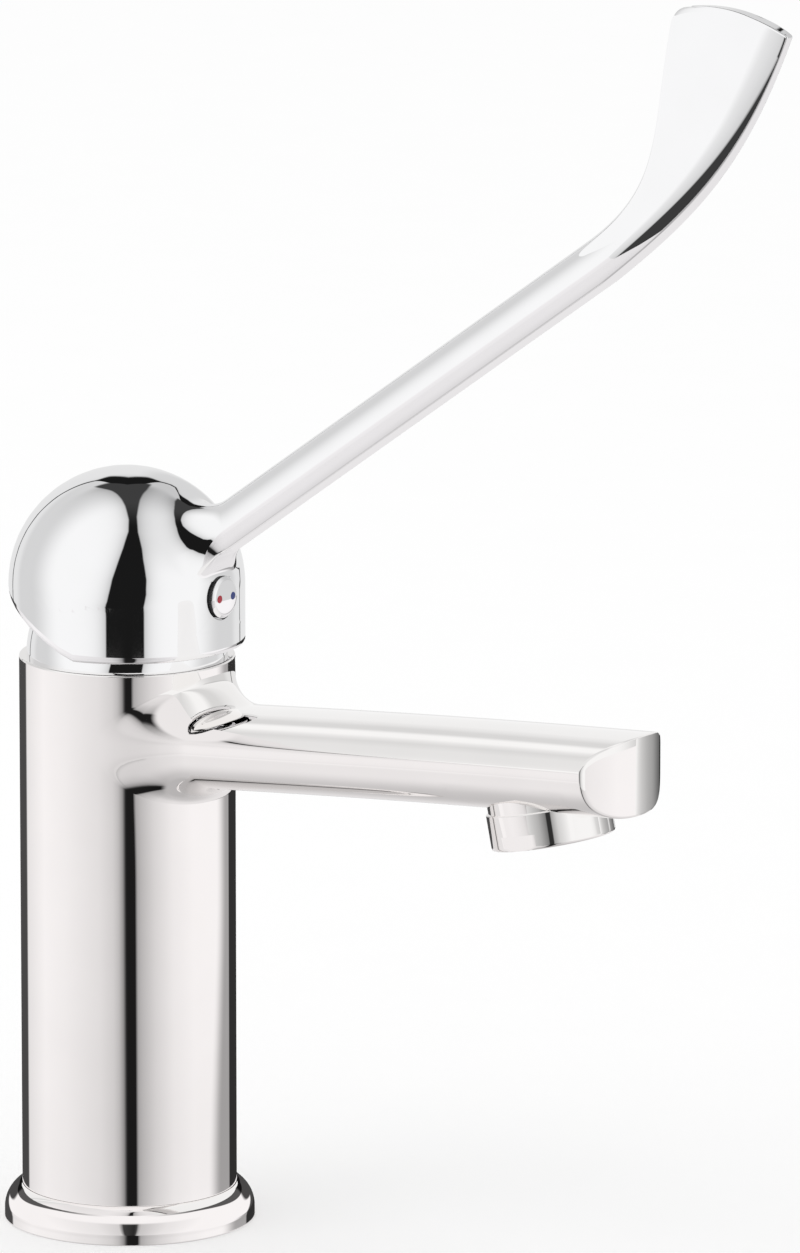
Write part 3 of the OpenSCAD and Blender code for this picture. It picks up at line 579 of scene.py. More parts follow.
def buildBaseRing():
    skin = Skin()
    rise = baseRing["height"] - baseRing["edge"]
    width = baseRing["radius"] - baseRing["bore"]
    arcRadius = (rise ** 2 + width ** 2) / (2 * width)
    arcMiddle = baseRing["radius"] - arcRadius
    arcEnd = acos((baseRing["bore"] + baseRing["round"] - arcMiddle) / arcRadius)
    arc = [(arcMiddle + arcRadius * cos(arcEnd * t), baseRing["edge"] + arcRadius * sin(arcEnd * t), 0)
           for t in steps(baseRing["arcSteps"])]
    inner = baseRing["grooveRadius"] - baseRing["grooveHalf"]
    outer = baseRing["grooveRadius"] + baseRing["grooveHalf"]
    corners = [
        (baseRing["lipRadius"], 0, baseRing["lipRound"]), (inner, 0, 0), (inner, baseRing["grooveDepth"], 0),
        (outer, baseRing["grooveDepth"], 0), (outer, 0, 0), (baseRing["radius"], 0, baseRing["round"]),
        *arc, (baseRing["bore"], arc[-1][1], 0), (baseRing["bore"], baseRing["lip"], 0),
        (baseRing["lipRadius"], baseRing["lip"], 0),
    ]
    turn(skin, roundedPath(corners), circleAngles(baseRing["around"]), upright)
    addPiece("baseRing", skin, bodyChrome, "fixed_body", "chrome_plate", "base_ring")


def buildShroud():
    skin = Skin()
    foot, radius = shroud["foot"], shroud["footRadius"]
    top = foot + shroud["height"]

    def slope(size, low, high):  # a stretch of a round form between two heights
        return [(sqrt(size ** 2 - (mix(low, high, t) - foot) ** 2), mix(low, high, t), 0)
                for t in steps(shroud["arcSteps"])]
    inside = slope(radius - shroud["sheet"], top - shroud["sheet"], foot)
    outside = slope(radius, foot, top - shroud["shoulder"])
    mouth, mouthRound = shroud["mouthRadius"], shroud["mouthRound"]
    corners = [
        *outside, (outside[-1][0] - shroud["shoulderIn"], top, shroud["shoulderRound"]),
        (mouth, top, mouthRound), (mouth, top - shroud["sheet"], mouthRound), *inside,
    ]
    turn(skin, roundedPath(corners), circleAngles(shroud["around"]), upright)
    addPiece("neckShroud", skin, handleChrome, "fixed_body", "chrome_plate", "neck_shroud")


buildBaseRing()
buildShroud()


# lever: dome, arm and paddle
dome = {
    "radius": 25.7, "wall": 2.2, "rim": 128.8, "middle": 141.5, "edgeRound": 1.0, "reliefAngle": 26,
    "reliefStart": 3.4, "rows": 46, "innerRows": 14, "edgeSteps": 5, "edgeShare": 0.85,
}
arm = {
    "angle": 35.2, "length": 149.0, "height": 9.8, "width": 8.7, "flat": 6.9, "offset": 2.2, "crease": 0.35,
    "waist": 0.4, "topFillet": 9.0, "sideFillet": 7.5, "lowFillet": 3.5, "filletSteps": 14,
    "evenFrom": 48.0, "evenSteps": 8, "runSteps": 24,
}
paddle = {
    "length": 58.4, "rise": 25.4, "width": 29.2, "tilt": 45.2, "thick": 3.3, "flat": 2.2, "waist": 0.22,
    "corner": 4.2, "cornerShare": 0.8, "bulge": 2.0, "bulgeStart": 0.7, "topSweep": 42.8, "lowSweep": 32.8,
    "lowStart": 2.8, "topPulls": (0.42, 0.5), "lowPulls": (0.47, 0.49), "steps": 44, "cornerSteps": 10,
    "endRound": 0.5, "endSteps": 5,
}
sectionSteps = {"flat": 8, "crease": 7, "side": 12, "top": 21}
cap = {
    "radius": 4.6, "gap": 0.35, "seat": 24.2, "thick": 2.5, "bevel": 0.6, "crown": 0.12, "crownShare": 0.86,
    "seatRound": 0.1, "wallRound": 0.15, "crownRound": 0.25, "roundSteps": 4, "crownSteps": 8, "around": 96,
    "plugRadius": 3.0, "plugLength": 6.0, "plugGap": 0.05, "plugRoom": 1.0,
    "blockRows": 5, "blockFrom": 1, "blockTo": 33, "blockHalf": 12, "lip": 0.2, "lipSteps": 4,
}
mark = {"radius": 0.85, "pitch": 4.8, "proud": 0.06, "depth": 0.4, "sink": 0.03, "domeSteps": 6, "around": 48}
armSlope = radians(arm["angle"])


def leverPoint(u, n, y):
    return Vector((u * cos(armSlope) - n * sin(armSlope), y,
                   dome["middle"] + u * sin(armSlope) + n * cos(armSlope)))


def halfSection(low, top, flat, thick, waist, bulge):  # from the flat underside's middle to the top edge
    across = top - low
    ahead = Vector((across.y, -across.x)).normalized()

    def at(s, y):
        p = low + across * s + ahead * (bulge * 4 * s * (1 - s))
        return Vector((p.x, p.y, y))

    def side(s):
        q = min(s / waist, 1)
        return mix(flat, thick, q * (2 - q)) / 2
    crease = arm["crease"]
    creaseTop = crease / across.length
    points = [at(0, (flat / 2 - crease) * t) for t in steps(sectionSteps["flat"])]
    for t in steps(sectionSteps["crease"])[1:]:
        points.append(at(bend(0, 0, creaseTop, t), bend(flat / 2 - crease, flat / 2, side(creaseTop), t)))
    points += [at(s, side(s)) for s in (mix(creaseTop, waist, t) for t in steps(sectionSteps["side"])[1:])]
    for t in steps(sectionSteps["top"])[1:]:
        b = t * pi / 2
        points.append(at(mix(waist, 1, sin(b)), thick / 2 * cos(b)))
    points[-1].z = 0
    return points


def wholeSection(half):
    return half + [Vector((p.x, p.y, -p.z)) for p in reversed(half[1:-1])]


def armSection(u):
    offset = arm["offset"]
    low, top = Vector((u, offset - arm["height"])), Vector((u, offset))
    return wholeSection(halfSection(low, top, arm["flat"], arm["width"], arm["waist"], 0))


paddleMiddle = Vector((arm["length"] + paddle["length"], arm["offset"] - arm["height"] / 2 + paddle["rise"]))
paddleEdge = Vector((-sin(radians(paddle["tilt"])), cos(radians(paddle["tilt"]))))
paddleTop = paddleMiddle + paddleEdge * paddle["width"] / 2
paddleLow = paddleMiddle - paddleEdge * paddle["width"] / 2


def heading(degreesUp):
    return Vector((cos(radians(degreesUp)), sin(radians(degreesUp))))


armTop = Vector((arm["length"], arm["offset"]))
armLow = Vector((arm["length"], arm["offset"] - arm["height"]))
topCurve = (armTop, armTop + heading(0) * paddle["topPulls"][0] * paddle["length"],
            paddleTop - heading(paddle["topSweep"]) * paddle["topPulls"][1] * paddle["length"], paddleTop)
lowCurve = (armLow, armLow + heading(paddle["lowStart"]) * paddle["lowPulls"][0] * paddle["length"],
            paddleLow - heading(paddle["lowSweep"]) * paddle["lowPulls"][1] * paddle["length"], paddleLow)
cornerStart = 1 - paddle["cornerShare"] * paddle["corner"] / paddle["length"]


def paddleSection(t):
    low, edge = cubic(lowCurve, t), cubic(topCurve, t)
    turned = clamp01((t - cornerStart) / (1 - cornerStart))
    pull = paddle["corner"] / paddle["width"] * (1 - sqrt(1 - turned ** 2))
    bulge = paddle["bulge"] * ease((t - paddle["bulgeStart"]) / (1 - paddle["bulgeStart"]))
    flat = mix(arm["flat"], paddle["flat"], ease(t))
    thick = mix(arm["width"], paddle["thick"], ease(t))
    waist = mix(arm["waist"], paddle["waist"], ease(t))
    return wholeSection(halfSection(low, mix(edge, low, pull), flat, thick, waist, bulge))


def outward(section):  # the section's own outward normals, in its plane
    n = len(section)
    normals = []
    for k in range(n):
        along = section[(k + 1) % n] - section[k - 1]
        normals.append(Vector((0, -along.z, along.y)).normalized() * -1)
    middle = sum(section, Vector()) / n
    if normals[0].dot(section[0] - middle) < 0:
        normals = [-v for v in normals]
    return normals


def rootRows():  # the fillet from the dome's round to the arm's side
    section = armSection(0)
    normals = outward(section)
    fillets = []
    for v in normals:
        end = arm["topFillet"] if v.y > 0 else arm["lowFillet"]
        fillets.append(mix(arm["sideFillet"], end, abs(v.y)))
    rows = []
    for t in steps(arm["filletSteps"]):
        b = t * pi / 2
        row = []
        for p, v, size in zip(section, normals, fillets):
            spot = p + v * (size * (1 - sin(b)))
            reach = dome["radius"] + size * (1 - cos(b))
            row.append(Vector((sqrt(reach ** 2 - spot.y ** 2 - spot.z ** 2), spot.y, spot.z)))
        rows.append(row)
    return rows


def domeFloor(x):  # height of the dome's lower edge
    return dome["rim"] + max(0, dome["reliefStart"] - x) * tan(radians(dome["reliefAngle"]))


class DomeLine:  # a line down the dome, away from the arm's root
    def __init__(self, root):
        radius = dome["radius"]
        self.start = acos(max(-1, min(1, root.x / radius)))
        self.roll = atan2(root.y, root.z)
        self.level = atan2(tan(armSlope), -sin(self.roll))  # where the round part ends
        if self.level < 0:
            self.level += pi
        self.turn = (self.level - self.start) * radius
        low, high = 0.0, self.turn + dome["middle"] - dome["rim"]
        for _ in range(40):  # halves the stretch that holds the edge
            half = (low + high) / 2
            spot = self.at(half)
            low, high = (half, high) if spot.z > domeFloor(spot.x) else (low, half)
        self.length = low

    def at(self, s):
        radius = dome["radius"]
        angle = min(self.start + s / radius, self.level)
        spot = leverPoint(radius * cos(angle), radius * sin(angle) * sin(self.roll),
                          radius * sin(angle) * cos(self.roll))
        spot.z -= max(0, s - self.turn)
        return spot


def domeFront(y, z):  # the dome's surface in front of the index cap
    up = max(0, z - dome["middle"])
    return Vector((sqrt(dome["radius"] ** 2 - y * y - up * up), y, z))


def buildLever():
    skin = Skin()
    root = rootRows()
    lines = [DomeLine(p) for p in root[0]]
    edge = dome["edgeRound"]
    rows = [[line.at((line.length - edge) * t) for line in lines] for t in steps(dome["rows"])]
    corner = [line.at(line.length) for line in lines]
    inward = [Vector((-p.x, -p.y, 0)).normalized() for p in corner]

    def under(p, v, depth):
        spot = p + v * depth
        return Vector((spot.x, spot.y, domeFloor(spot.x)))
    for t in steps(dome["edgeSteps"])[1:]:
        rows.append([bend(a, p, under(p, v, edge), t) for a, p, v in zip(rows[dome["rows"]], corner, inward)])
    inner = [under(p, v, dome["wall"]) for p, v in zip(corner, inward)]
    rows.append([mix(a, b, dome["edgeShare"]) for a, b in zip(rows[-1], inner)])
    rows.append(inner)
    innerRadius = dome["radius"] - dome["wall"]
    for t in steps(dome["innerRows"])[1:-1]:
        row = []
        for p in inner:
            lift = max(0, p.z - dome["middle"])
            climb = max(0, dome["middle"] - p.z)
            first = atan2(lift, hypot(p.x, p.y))
            s = t * (climb + (pi / 2 - first) * innerRadius)
            angle = first + max(0, s - climb) / innerRadius
            flat = Vector((p.x, p.y, 0)).normalized() * (innerRadius * cos(angle))
            arch = dome["middle"] + innerRadius * sin(angle)
            row.append(Vector((flat.x, flat.y, min(p.z + s, dome["middle"]) if s < climb else arch)))
        rows.append(row)
    count = len(lines)
    half = cap["blockHalf"]

    def inBlock(i, k):
        return cap["blockFrom"] <= i < cap["blockTo"] and (k < half or k >= count - half)
    rings = skin.loft(rows, skip=inBlock)
    skin.cap(rings[-1], (0, 0, dome["middle"] + innerRadius))

    kRange = list(range(-half, half))
    iFrom, iTo = cap["blockFrom"], cap["blockTo"]
    border = [(iFrom, k) for k in kRange] + [(i, half) for i in range(iFrom, iTo)]
    border += [(iTo, k + 1) for k in reversed(kRange)] + [(i, -half) for i in range(iTo, iFrom, -1)]
    border = [rows[i][k % count] for i, k in border]
    bearing = [atan2(p.z - dome["middle"], p.y) for p in border]
    hole = cap["radius"] + cap["gap"]

    def onHole(r, b):
        return domeFront(r * cos(b), dome["middle"] + r * sin(b))
    lip = cap["lip"]
    holeRows = []
    for t in steps(cap["blockRows"]):
        ends = [(p, onHole(hole + lip, b)) for p, b in zip(border, bearing)]
        holeRows.append([domeFront(mix(p.y, q.y, t), mix(p.z, q.z, t)) for p, q in ends])
    sunk = Vector((-lip, 0, 0))
    edges = [(onHole(hole + lip, b), onHole(hole, b)) for b in bearing]
    for t in steps(cap["lipSteps"])[1:]:
        holeRows.append([bend(outer, inner, inner + sunk, t) for outer, inner in edges])
    bore, seat = cap["plugRadius"] + cap["plugGap"], cap["seat"]
    bottom = seat - cap["plugLength"] - cap["plugRoom"]
    holeRows += [[rotated(r, b, x) for b in bearing] for r, x in ((hole, seat), (bore, seat), (bore, bottom))]
    rings = skin.loft(holeRows)
    skin.cap(rings[-1], rotated(0, 0, bottom))

    sections = list(root)
    even = armSection(arm["evenFrom"])
    for t in steps(arm["evenSteps"])[1:]:
        sections.append([mix(a, b, t) for a, b in zip(root[-1], even)])
    sections += [armSection(mix(arm["evenFrom"], arm["length"], t)) for t in steps(arm["runSteps"])[1:]]
    sections += [paddleSection(cornerStart * t) for t in steps(paddle["steps"])[1:]]
    cornerShares = [sin(t * pi / 2) for t in steps(paddle["cornerSteps"])[1:]]
    sections += [paddleSection(mix(cornerStart, 1, share)) for share in cornerShares]
    last = sections[-1]
    middle = sum(last, Vector()) / len(last)
    ahead = Vector((cos(radians(paddle["tilt"])), sin(radians(paddle["tilt"])), 0))
    roundOff = paddle["endRound"]
    for t in steps(paddle["endSteps"])[1:]:
        b = t * pi / 2
        row = []
        for p in last:
            thin = 1 - roundOff * (1 - cos(b)) / (paddle["thick"] / 2)
            pulled = p + (middle - p).normalized() * (roundOff * (1 - cos(b)))
            row.append(Vector((pulled.x, pulled.y, p.z * thin)) + ahead * (roundOff * sin(b)))
        sections.append(row)
    rings = skin.loft([[leverPoint(*p) for p in row] for row in sections])
    skin.fold(rings[-1])
    addPiece("leverHandle", skin, handleChrome, "lever", "chrome_plate", "lever_handle")


def buildCap():
    skin = Skin()
    radius, seat = cap["radius"], cap["seat"]
    face = seat + cap["thick"]
    shares = [1 - t for t in steps(cap["crownSteps"])][:-1]
    crown = [(radius * cap["crownShare"] * share, face - cap["crown"] * share ** 2) for share in shares]
    corners = [
        (radius, seat, cap["seatRound"]), (radius, face - cap["bevel"] - cap["seatRound"], cap["wallRound"]),
        (*crown[0], cap["crownRound"]), *[(r, h, 0) for r, h in crown[1:]],
    ]
    path = roundedPath(corners, cap["roundSteps"])
    plugEnd = seat - cap["plugLength"]
    plug = [Vector((cap["plugRadius"], h)) for h in (plugEnd, seat)]
    rows = [[rotated(p.x, a, p.y) for a in circleAngles(cap["around"])] for p in plug + path]
    rings = skin.loft(rows)
    skin.cap(rings[0], rotated(0, 0, plugEnd))
    skin.cap(rings[-1], rotated(0, 0, face))
    made = addPiece("indexCap", skin, handleChrome, "lever", "chrome_plate", "index_cap")
    made.data.materials.append(finishes["sealRubberAndPaintedShade"])  # painted shade: the cap's walls, below the plated face, take the near-black rubber finish to stand for the shadowed gap round the cap
    for polygon in made.data.polygons:
        facesAhead = abs(polygon.normal.x) >= 0.5
        polygon.material_index = 0 if facesAhead else 1


def buildMark(name, side, finish, slotName, node):
    skin = Skin()
    radius, proud = mark["radius"], mark["proud"]
    face = cap["seat"] + cap["thick"] - mark["sink"]
    arc = [t * pi / 2 for t in steps(mark["domeSteps"])][:-1]
    path = [(radius, face - mark["depth"])] + [(radius * cos(b), face + proud * sin(b)) for b in arc]
    shift = Vector((0, side * mark["pitch"] / 2, 0))
    rows = [[Vector(rotated(r, a, h)) + shift for a in circleAngles(mark["around"])] for r, h in path]
    rings = skin.loft(rows)
    skin.cap(rings[0], Vector(rotated(0, 0, face - mark["depth"])) + shift)
    skin.cap(rings[-1], Vector(rotated(0, 0, face + proud)) + shift)
    addPiece(name, skin, finish, "lever", slotName, node)


buildLever()
buildCap()
buildMark("hotMark", -1, finishes["hotEnamel"], "hot_red", "hot_mark")
buildMark("coldMark", 1, finishes["coldEnamel"], "cold_blue", "cold_mark")


# camera: a long lens between the spout's side and its end, looking a little down
shot = {
    "place": (1.5104, -2.0536, 0.6781), "ahead": (-0.5609, 0.8010, -0.2096), "lens": 344.8, "film": 36.0,
    "farthest": 50,
}
camera = bpy.data.objects.new("camera", bpy.data.cameras.new("camera"))
scene.collection.objects.link(camera)
camera.location = shot["place"]
camera.rotation_euler = Vector(shot["ahead"]).to_track_quat("-Z", "Y").to_euler()
camera.data.lens = shot["lens"]
camera.data.sensor_fit = "VERTICAL"
camera.data.sensor_height = shot["film"]
camera.data.clip_end = shot["farthest"]
scene.camera = camera
towardCamera = atan2(-shot["ahead"][1], -shot["ahead"][0])
cameraRise = -atan2(shot["ahead"][2], hypot(*shot["ahead"][:2]))

# studio: a pale tent with dark gaps and eight light cards, which only polished metal mirrors
white = (1, 1, 1)
warmWhite = (1, 0.978, 0.984)
halfTurn = 180
toDegrees = halfTurn / pi
gapLevels = [  # the dark gap: turn from the camera's direction, and the light there
    (-15, 0.70), (-9, 0.56), (-4.5, 0.32), (-2, 0.03), (0, 0.012), (9, 0.012), (10.5, 0.42), (16, 0.54),
    (30, 0.74),
]
lowLevels = [
    (-180, 0.07), (-138, 0.07), (-135, 0.84), (-100, 1.0), (-70, 0.95), (-30, 0.82), *gapLevels,
    (50, 0.92), (75, 1.0), (180, 1.0),
]
groundLevels = [
    (-180, 0.78), (-110, 0.86), (-70, 0.88), (-45, 0.84), (-30, 0.80), *gapLevels, (50, 0.84), (180, 0.84),
]


def axes(desk, place):
    split = desk.node("ShaderNodeSeparateXYZ", {}, {0: place})
    return [Wire(desk, split.socket.node.outputs[i]) for i in range(3)]


def turnOf(desk, x, y):  # 0 faces the camera on what is turned toward it, and its right is positive
    return desk.maths("ARCTAN2", y, x) * toDegrees


def between(first, second, mask):  # first where the mask is 0, second where it is 1
    return first * (1 - mask) + second * mask


def glow(desk, level, hidden=None, tint=white):  # a card has hidden, which is 1 where metal doesn't mirror it
    if hidden:
        deep = desk.maths("GREATER_THAN", desk.node("ShaderNodeLightPath", out="Ray Depth"), 1.5)
        level = level * (1 - deep) + deep  # plain in a second mirror
    colour = desk.node("ShaderNodeVectorMath", {"operation": "SCALE"}, {0: tint, "Scale": level})
    shader = desk.node("ShaderNodeEmission", {}, {"Color": colour})
    if hidden:
        clear = desk.node("ShaderNodeBsdfTransparent")
        shader = desk.node("ShaderNodeMixShader", {}, {0: hidden, 1: shader, 2: clear})
    desk.node("ShaderNodeOutputMaterial", {}, {"Surface": shader})


def fromAbove(desk):  # 1 where a ray meets a card's upper side
    return desk.node("ShaderNodeNewGeometry", out="Backfacing")


def rayLength(desk):  # from the metal to the card, in millimetres
    return desk.node("ShaderNodeLightPath", out="Ray Length") / mm


def tooFar(desk, reach):
    return desk.maths("GREATER_THAN", rayLength(desk), reach)


def addStage(name, mesh, finish, onlyGlossy=True):
    made = bpy.data.objects.new(name, mesh)
    scene.collection.objects.link(made)
    mesh.materials.append(finish)
    made.visible_camera = not onlyGlossy
    made.visible_diffuse = not onlyGlossy
    made.visible_shadow = not onlyGlossy
    made.visible_transmission = not onlyGlossy
    made.visible_glossy = onlyGlossy
    return made


lowTent = {  # an upright wall below the floor's level, in metres, with its light by height and turn
    "radius": hypot(*shot["place"][:2]), "bottom": -0.72, "top": -0.4233, "around": 128,
    "high": (-0.66, -0.52), "foot": (-0.675, -0.655), "light": 0.95, "extraLight": 0.05,
    "fall": 0.60, "fallFrom": 94, "fallTo": 118, "fromRise": 16, "toRise": 14,
    "dark": 0.92, "darkTurns": (136, 139),
    "narrow": 3.2, "narrowHeights": (-0.52, -0.44), "narrowTurns": (1, 5),
}


def lowTentFinish():  # what the column mirrors
    made, desk, place = newFinish("lowTent")
    x, y, z = axes(desk, place)
    turned = turnOf(desk, x, y)
    high = desk.rise(z, *lowTent["high"])
    foot = 1 - desk.rise(z, *lowTent["foot"])
    light = lowTent["light"] + lowTent["extraLight"] * high + lowTent["extraLight"] * foot
    start = lowTent["fallFrom"] + lowTent["fromRise"] * high
    end = lowTent["fallTo"] + lowTent["toRise"] * high
    fall = 1 - lowTent["fall"] * desk.rise(turned, start, end)
    dark = 1 - lowTent["dark"] * desk.rise(turned, *lowTent["darkTurns"])
    narrow = lowTent["narrow"] * desk.rise(z, *lowTent["narrowHeights"])
    narrow = narrow * desk.rise(turned, *lowTent["narrowTurns"])
    glow(desk, desk.ramp(turned + narrow, halfTurn, lowLevels) * fall * dark * light, tint=warmWhite)
    return made


highTent = {  # a globe round the dome, in metres, with its dark gap and band in degrees
    "radius": 2.9, "middle": 0.14, "around": 128, "rings": 48, "black": 0.010,
    "edgeReach": 60, "edgeSoft": 0.8, "gapFront": (-60, -50), "gapBack": (128, 132),
    "gapGlow": 0.04, "glowRolls": (66, 100),
    "besideDim": 0.40, "besideFade": -7, "besideEnd": (108, 118),
    "panelDim": 0.30, "panelAway": (72, 106), "backGain": 0.12, "backAway": (124, 136),
    "rightDim": 0.14, "rightRolls": (15, 60), "rightSides": (2, 10),
    "bandMiddle": 119, "bandSwing": 27, "bandThin": 0.7, "bandThick": 7, "thickSwings": (0.15, 0.32),
    "thickAbove": (-0.1, 0.1), "bandSoft": 0.4, "bandCore": 0.6, "bandFade": 1.5,
    "below": (-21, -13.5), "deep": (-74, -62), "deepLight": 0.72, "groundLight": 0.70, "groundRise": 0.30,
    "groundRises": (-64, -30),
    "leftEdges": [  # the gap's edges: roll over the dome from the front, and the side angle there
        (-180, -21), (-13, -20), (0, -17), (15, -13), (30, -8), (46, -2.5), (63, 2), (76, 2), (92, -1),
        (101, -3.5), (109, -6.4), (115, -9.2), (121, -13.3), (126, -16), (131, -17.5),
    ],
    "rightEdges": [
        (-180, 16), (-13, 17), (0, 19.7), (15, 19.8), (30, 17.6), (46, 15), (63, 10.5), (80, 8.5), (95, 8.8),
        (102, 9), (111, 10), (119, 11.4), (131, 12),
    ],
}


def highTentFinish():  # what the dome, the arm and the paddle mirror
    made, desk, place = newFinish("highTent")
    unit = desk.node("ShaderNodeVectorMath", {"operation": "NORMALIZE"}, {0: place})
    x, y, z = axes(desk, unit)
    ahead = x * cos(cameraRise) + z * sin(cameraRise)
    above = z * cos(cameraRise) - x * sin(cameraRise)
    away = desk.maths("ARCCOSINE", ahead) * toDegrees  # angle from the camera's direction
    side = desk.maths("ARCSINE", y) * toDegrees
    roll = desk.maths("ARCTAN2", z, x) * toDegrees  # 0 in front, 90 overhead
    rise = desk.maths("ARCSINE", z) * toDegrees

    left, right = [desk.ramp(roll, halfTurn, highTent[name], highTent["edgeReach"])
                   for name in ("leftEdges", "rightEdges")]
    soft = highTent["edgeSoft"]
    gap = desk.rise(side, left - soft, left + soft) * (1 - desk.rise(side, right - soft, right + soft))
    gap = gap * (1 - desk.rise(roll, *highTent["gapBack"])) * desk.rise(roll, *highTent["gapFront"])
    outside = desk.maths("MAXIMUM", left - side, 0) + desk.maths("MAXIMUM", side - right, 0)
    beside = desk.maths("EXPONENT", outside / highTent["besideFade"])
    beside = beside * (1 - desk.rise(away, *highTent["besideEnd"]))
    dim = 1 - highTent["panelDim"] * desk.rise(away, *highTent["panelAway"])
    dim = dim + highTent["backGain"] * desk.rise(away, *highTent["backAway"])
    onRight = highTent["rightDim"] * desk.rise(roll, *highTent["rightRolls"])
    onRight = onRight * desk.rise(side, *highTent["rightSides"])
    panel = (1 - highTent["besideDim"] * beside) * dim * (1 - onRight)
    inGap = highTent["black"] + highTent["gapGlow"] * desk.rise(roll, *highTent["glowRolls"])
    level = between(panel, inGap, gap)

    swing = desk.maths("ABSOLUTE", y) / desk.maths("SQRT", y * y + above * above + 1e-6)  # never divides by 0
    thick = highTent["bandThick"] * (1 - desk.rise(swing, *highTent["thickSwings"]))
    half = highTent["bandThin"] + thick * desk.rise(above, *highTent["thickAbove"])
    offset = away - (highTent["bandMiddle"] + highTent["bandSwing"] * swing)
    band = desk.rise(offset, -highTent["bandSoft"] - half, highTent["bandSoft"] - half)
    band = band * (1 - desk.rise(offset, half * highTent["bandCore"], half + highTent["bandFade"]))
    level = between(level, highTent["black"], band)

    below = 1 - desk.rise(rise, *highTent["below"])  # the ground's glow, with the end of the column's gap
    deep = 1 - desk.rise(rise, *highTent["deep"])
    ground = between(desk.ramp(turnOf(desk, x, y), halfTurn, groundLevels), highTent["deepLight"], deep)
    lifted = highTent["groundRise"] * desk.rise(rise, *highTent["groundRises"])
    ground = ground * (highTent["groundLight"] + lifted)
    glow(desk, between(level, ground, below), tint=desk.blend(below, (*white, 1), (*warmWhite, 1)))
    return made


def buildTent():
    skin = Skin()
    radius = lowTent["radius"] / mm
    angles = circleAngles(lowTent["around"])
    skin.loft([[upright(radius, a, h / mm) for a in angles] for h in (lowTent["bottom"], lowTent["top"])])
    low = addStage("lowTent", skin.mesh("lowTent"), lowTentFinish())
    skin = Skin()
    radius = highTent["radius"] / mm
    angles = circleAngles(highTent["around"])
    rises = [radians(mix(-90, 90, t)) for t in steps(highTent["rings"])][1:-1]
    rings = skin.loft([[upright(radius * cos(e), a, radius * sin(e)) for a in angles] for e in rises])
    skin.cap(rings[0], (0, 0, -radius))
    skin.cap(rings[-1], (0, 0, radius))
    high = addStage("highTent", skin.mesh("highTent"), highTentFinish())
    high.location.z = highTent["middle"]
    for part in (low, high):
        part.rotation_euler.z = towardCamera


def addCard(name, finish, inner, outer, closed):  # a band of card between two rows of points
    skin = Skin()
    inside, outside = skin.ring(inner), skin.ring(outer)
    count = len(inside)
    for k in range(count if closed else count - 1):
        n = (k + 1) % count
        skin.quad(inside[k], outside[k], outside[n], inside[n])
    made = bpy.data.meshes.new(name)
    skin.bm.to_mesh(made)
    skin.bm.free()
    return addStage(name, made, finish)


spoutCard = {  # a tilted sheet over the spout, glowing down, with soft strips along it
    "inner": 26.2, "outer": 600.0, "height": 125.7, "slope": 0.07, "around": 96, "reach": 100,
    "levels": [(-100, 0.88), (-19, 0.84), (-11.5, 0.76), (-8, 0.86), (-5, 1.0), (-1, 1.0), (2.5, 0.74),
               (7, 0.74), (12, 0.84), (20, 0.92), (100, 0.95)],
}


def buildSpoutCard():
    made, desk, place = newFinish("spoutCard")
    x, y, z = axes(desk, place)
    glow(desk, desk.ramp(y / mm, spoutCard["reach"], spoutCard["levels"]), hidden=fromAbove(desk))
    slope, height = spoutCard["slope"], spoutCard["height"]
    inner, outer = [[upright(r, -a, height + slope * r * cos(a)) for a in circleAngles(spoutCard["around"])]
                    for r in (spoutCard["inner"], spoutCard["outer"])]
    addCard("spoutCard", made, inner, outer, True)


def buildCone(name, finish, card):  # part of a cone round the column, glowing down
    angles = [radians(mix(*card["sector"], t)) for t in reversed(steps(card["sides"]))]
    inner, outer = [[upright(r, a, card["height"] - card["slope"] * (r - card["inner"])) for a in angles]
                    for r in (card["inner"], card["outer"])]
    addCard(name, finish, inner, outer, False).rotation_euler.z = towardCamera


ringCard = {  # a pale ring round the foot, dark behind the column; its light is placed in metres
    "sector": (-180, 180), "sides": 60, "inner": 28.4, "outer": 600, "height": 12.5, "slope": 0.19,
    "seam": 0.0295, "seamOut": 0.0045, "seamTurns": (40, 100), "seamSoft": 0.0003, "seamFront": (8, 45),
    "seamDim": 0.9, "spread": (0.0345, 0.0375), "back": 100, "backTurn": 36, "backFar": (0.030, 0.080),
    "backSoft": 3, "backDim": 0.93,
    "levels": [(-180, 1.0), (-60, 1.0), (-20, 0.86), (-5.5, 0.7), (-3, 0.05), (5.5, 0.02), (7.5, 0.6),
               (25, 0.85), (50, 1.0), (180, 1.0)],
}


def ringCardFinish():
    made, desk, place = newFinish("ringCard")
    x, y, z = axes(desk, place)
    turned = turnOf(desk, x, y)
    far = desk.maths("SQRT", x * x + y * y)
    swing = desk.maths("ABSOLUTE", turned)
    seamEdge = ringCard["seam"] + ringCard["seamOut"] * desk.rise(swing, *ringCard["seamTurns"])
    seam = 1 - desk.rise(far, seamEdge - ringCard["seamSoft"], seamEdge + ringCard["seamSoft"])
    seam = seam * desk.rise(swing, *ringCard["seamFront"])
    spread = desk.rise(far, *ringCard["spread"])
    level = desk.ramp(turned, halfTurn, ringCard["levels"]) * spread + (1 - spread)
    edge = ringCard["back"] + ringCard["backTurn"] * desk.rise(far, *ringCard["backFar"])
    behind = desk.rise(swing, edge - ringCard["backSoft"], edge + ringCard["backSoft"])
    level = level * (1 - ringCard["backDim"] * behind) * (1 - ringCard["seamDim"] * seam)
    glow(desk, level, hidden=fromAbove(desk), tint=warmWhite)
    return made


coneCard = {  # carries the column's dark gap a little way above the spout's root
    "sector": (-110, 33), "sides": 60, "inner": 25.5, "outer": 2500, "height": 125.2, "slope": 0.2205,
    "gapMiddle": 3.9, "gapLean": 0.35, "leanEnd": 44, "gapScale": 130, "gapTurn": 4.5,
    "shown": (34, 38), "plain": 0.9, "distant": (60, 140), "rootEnd": 42,
}


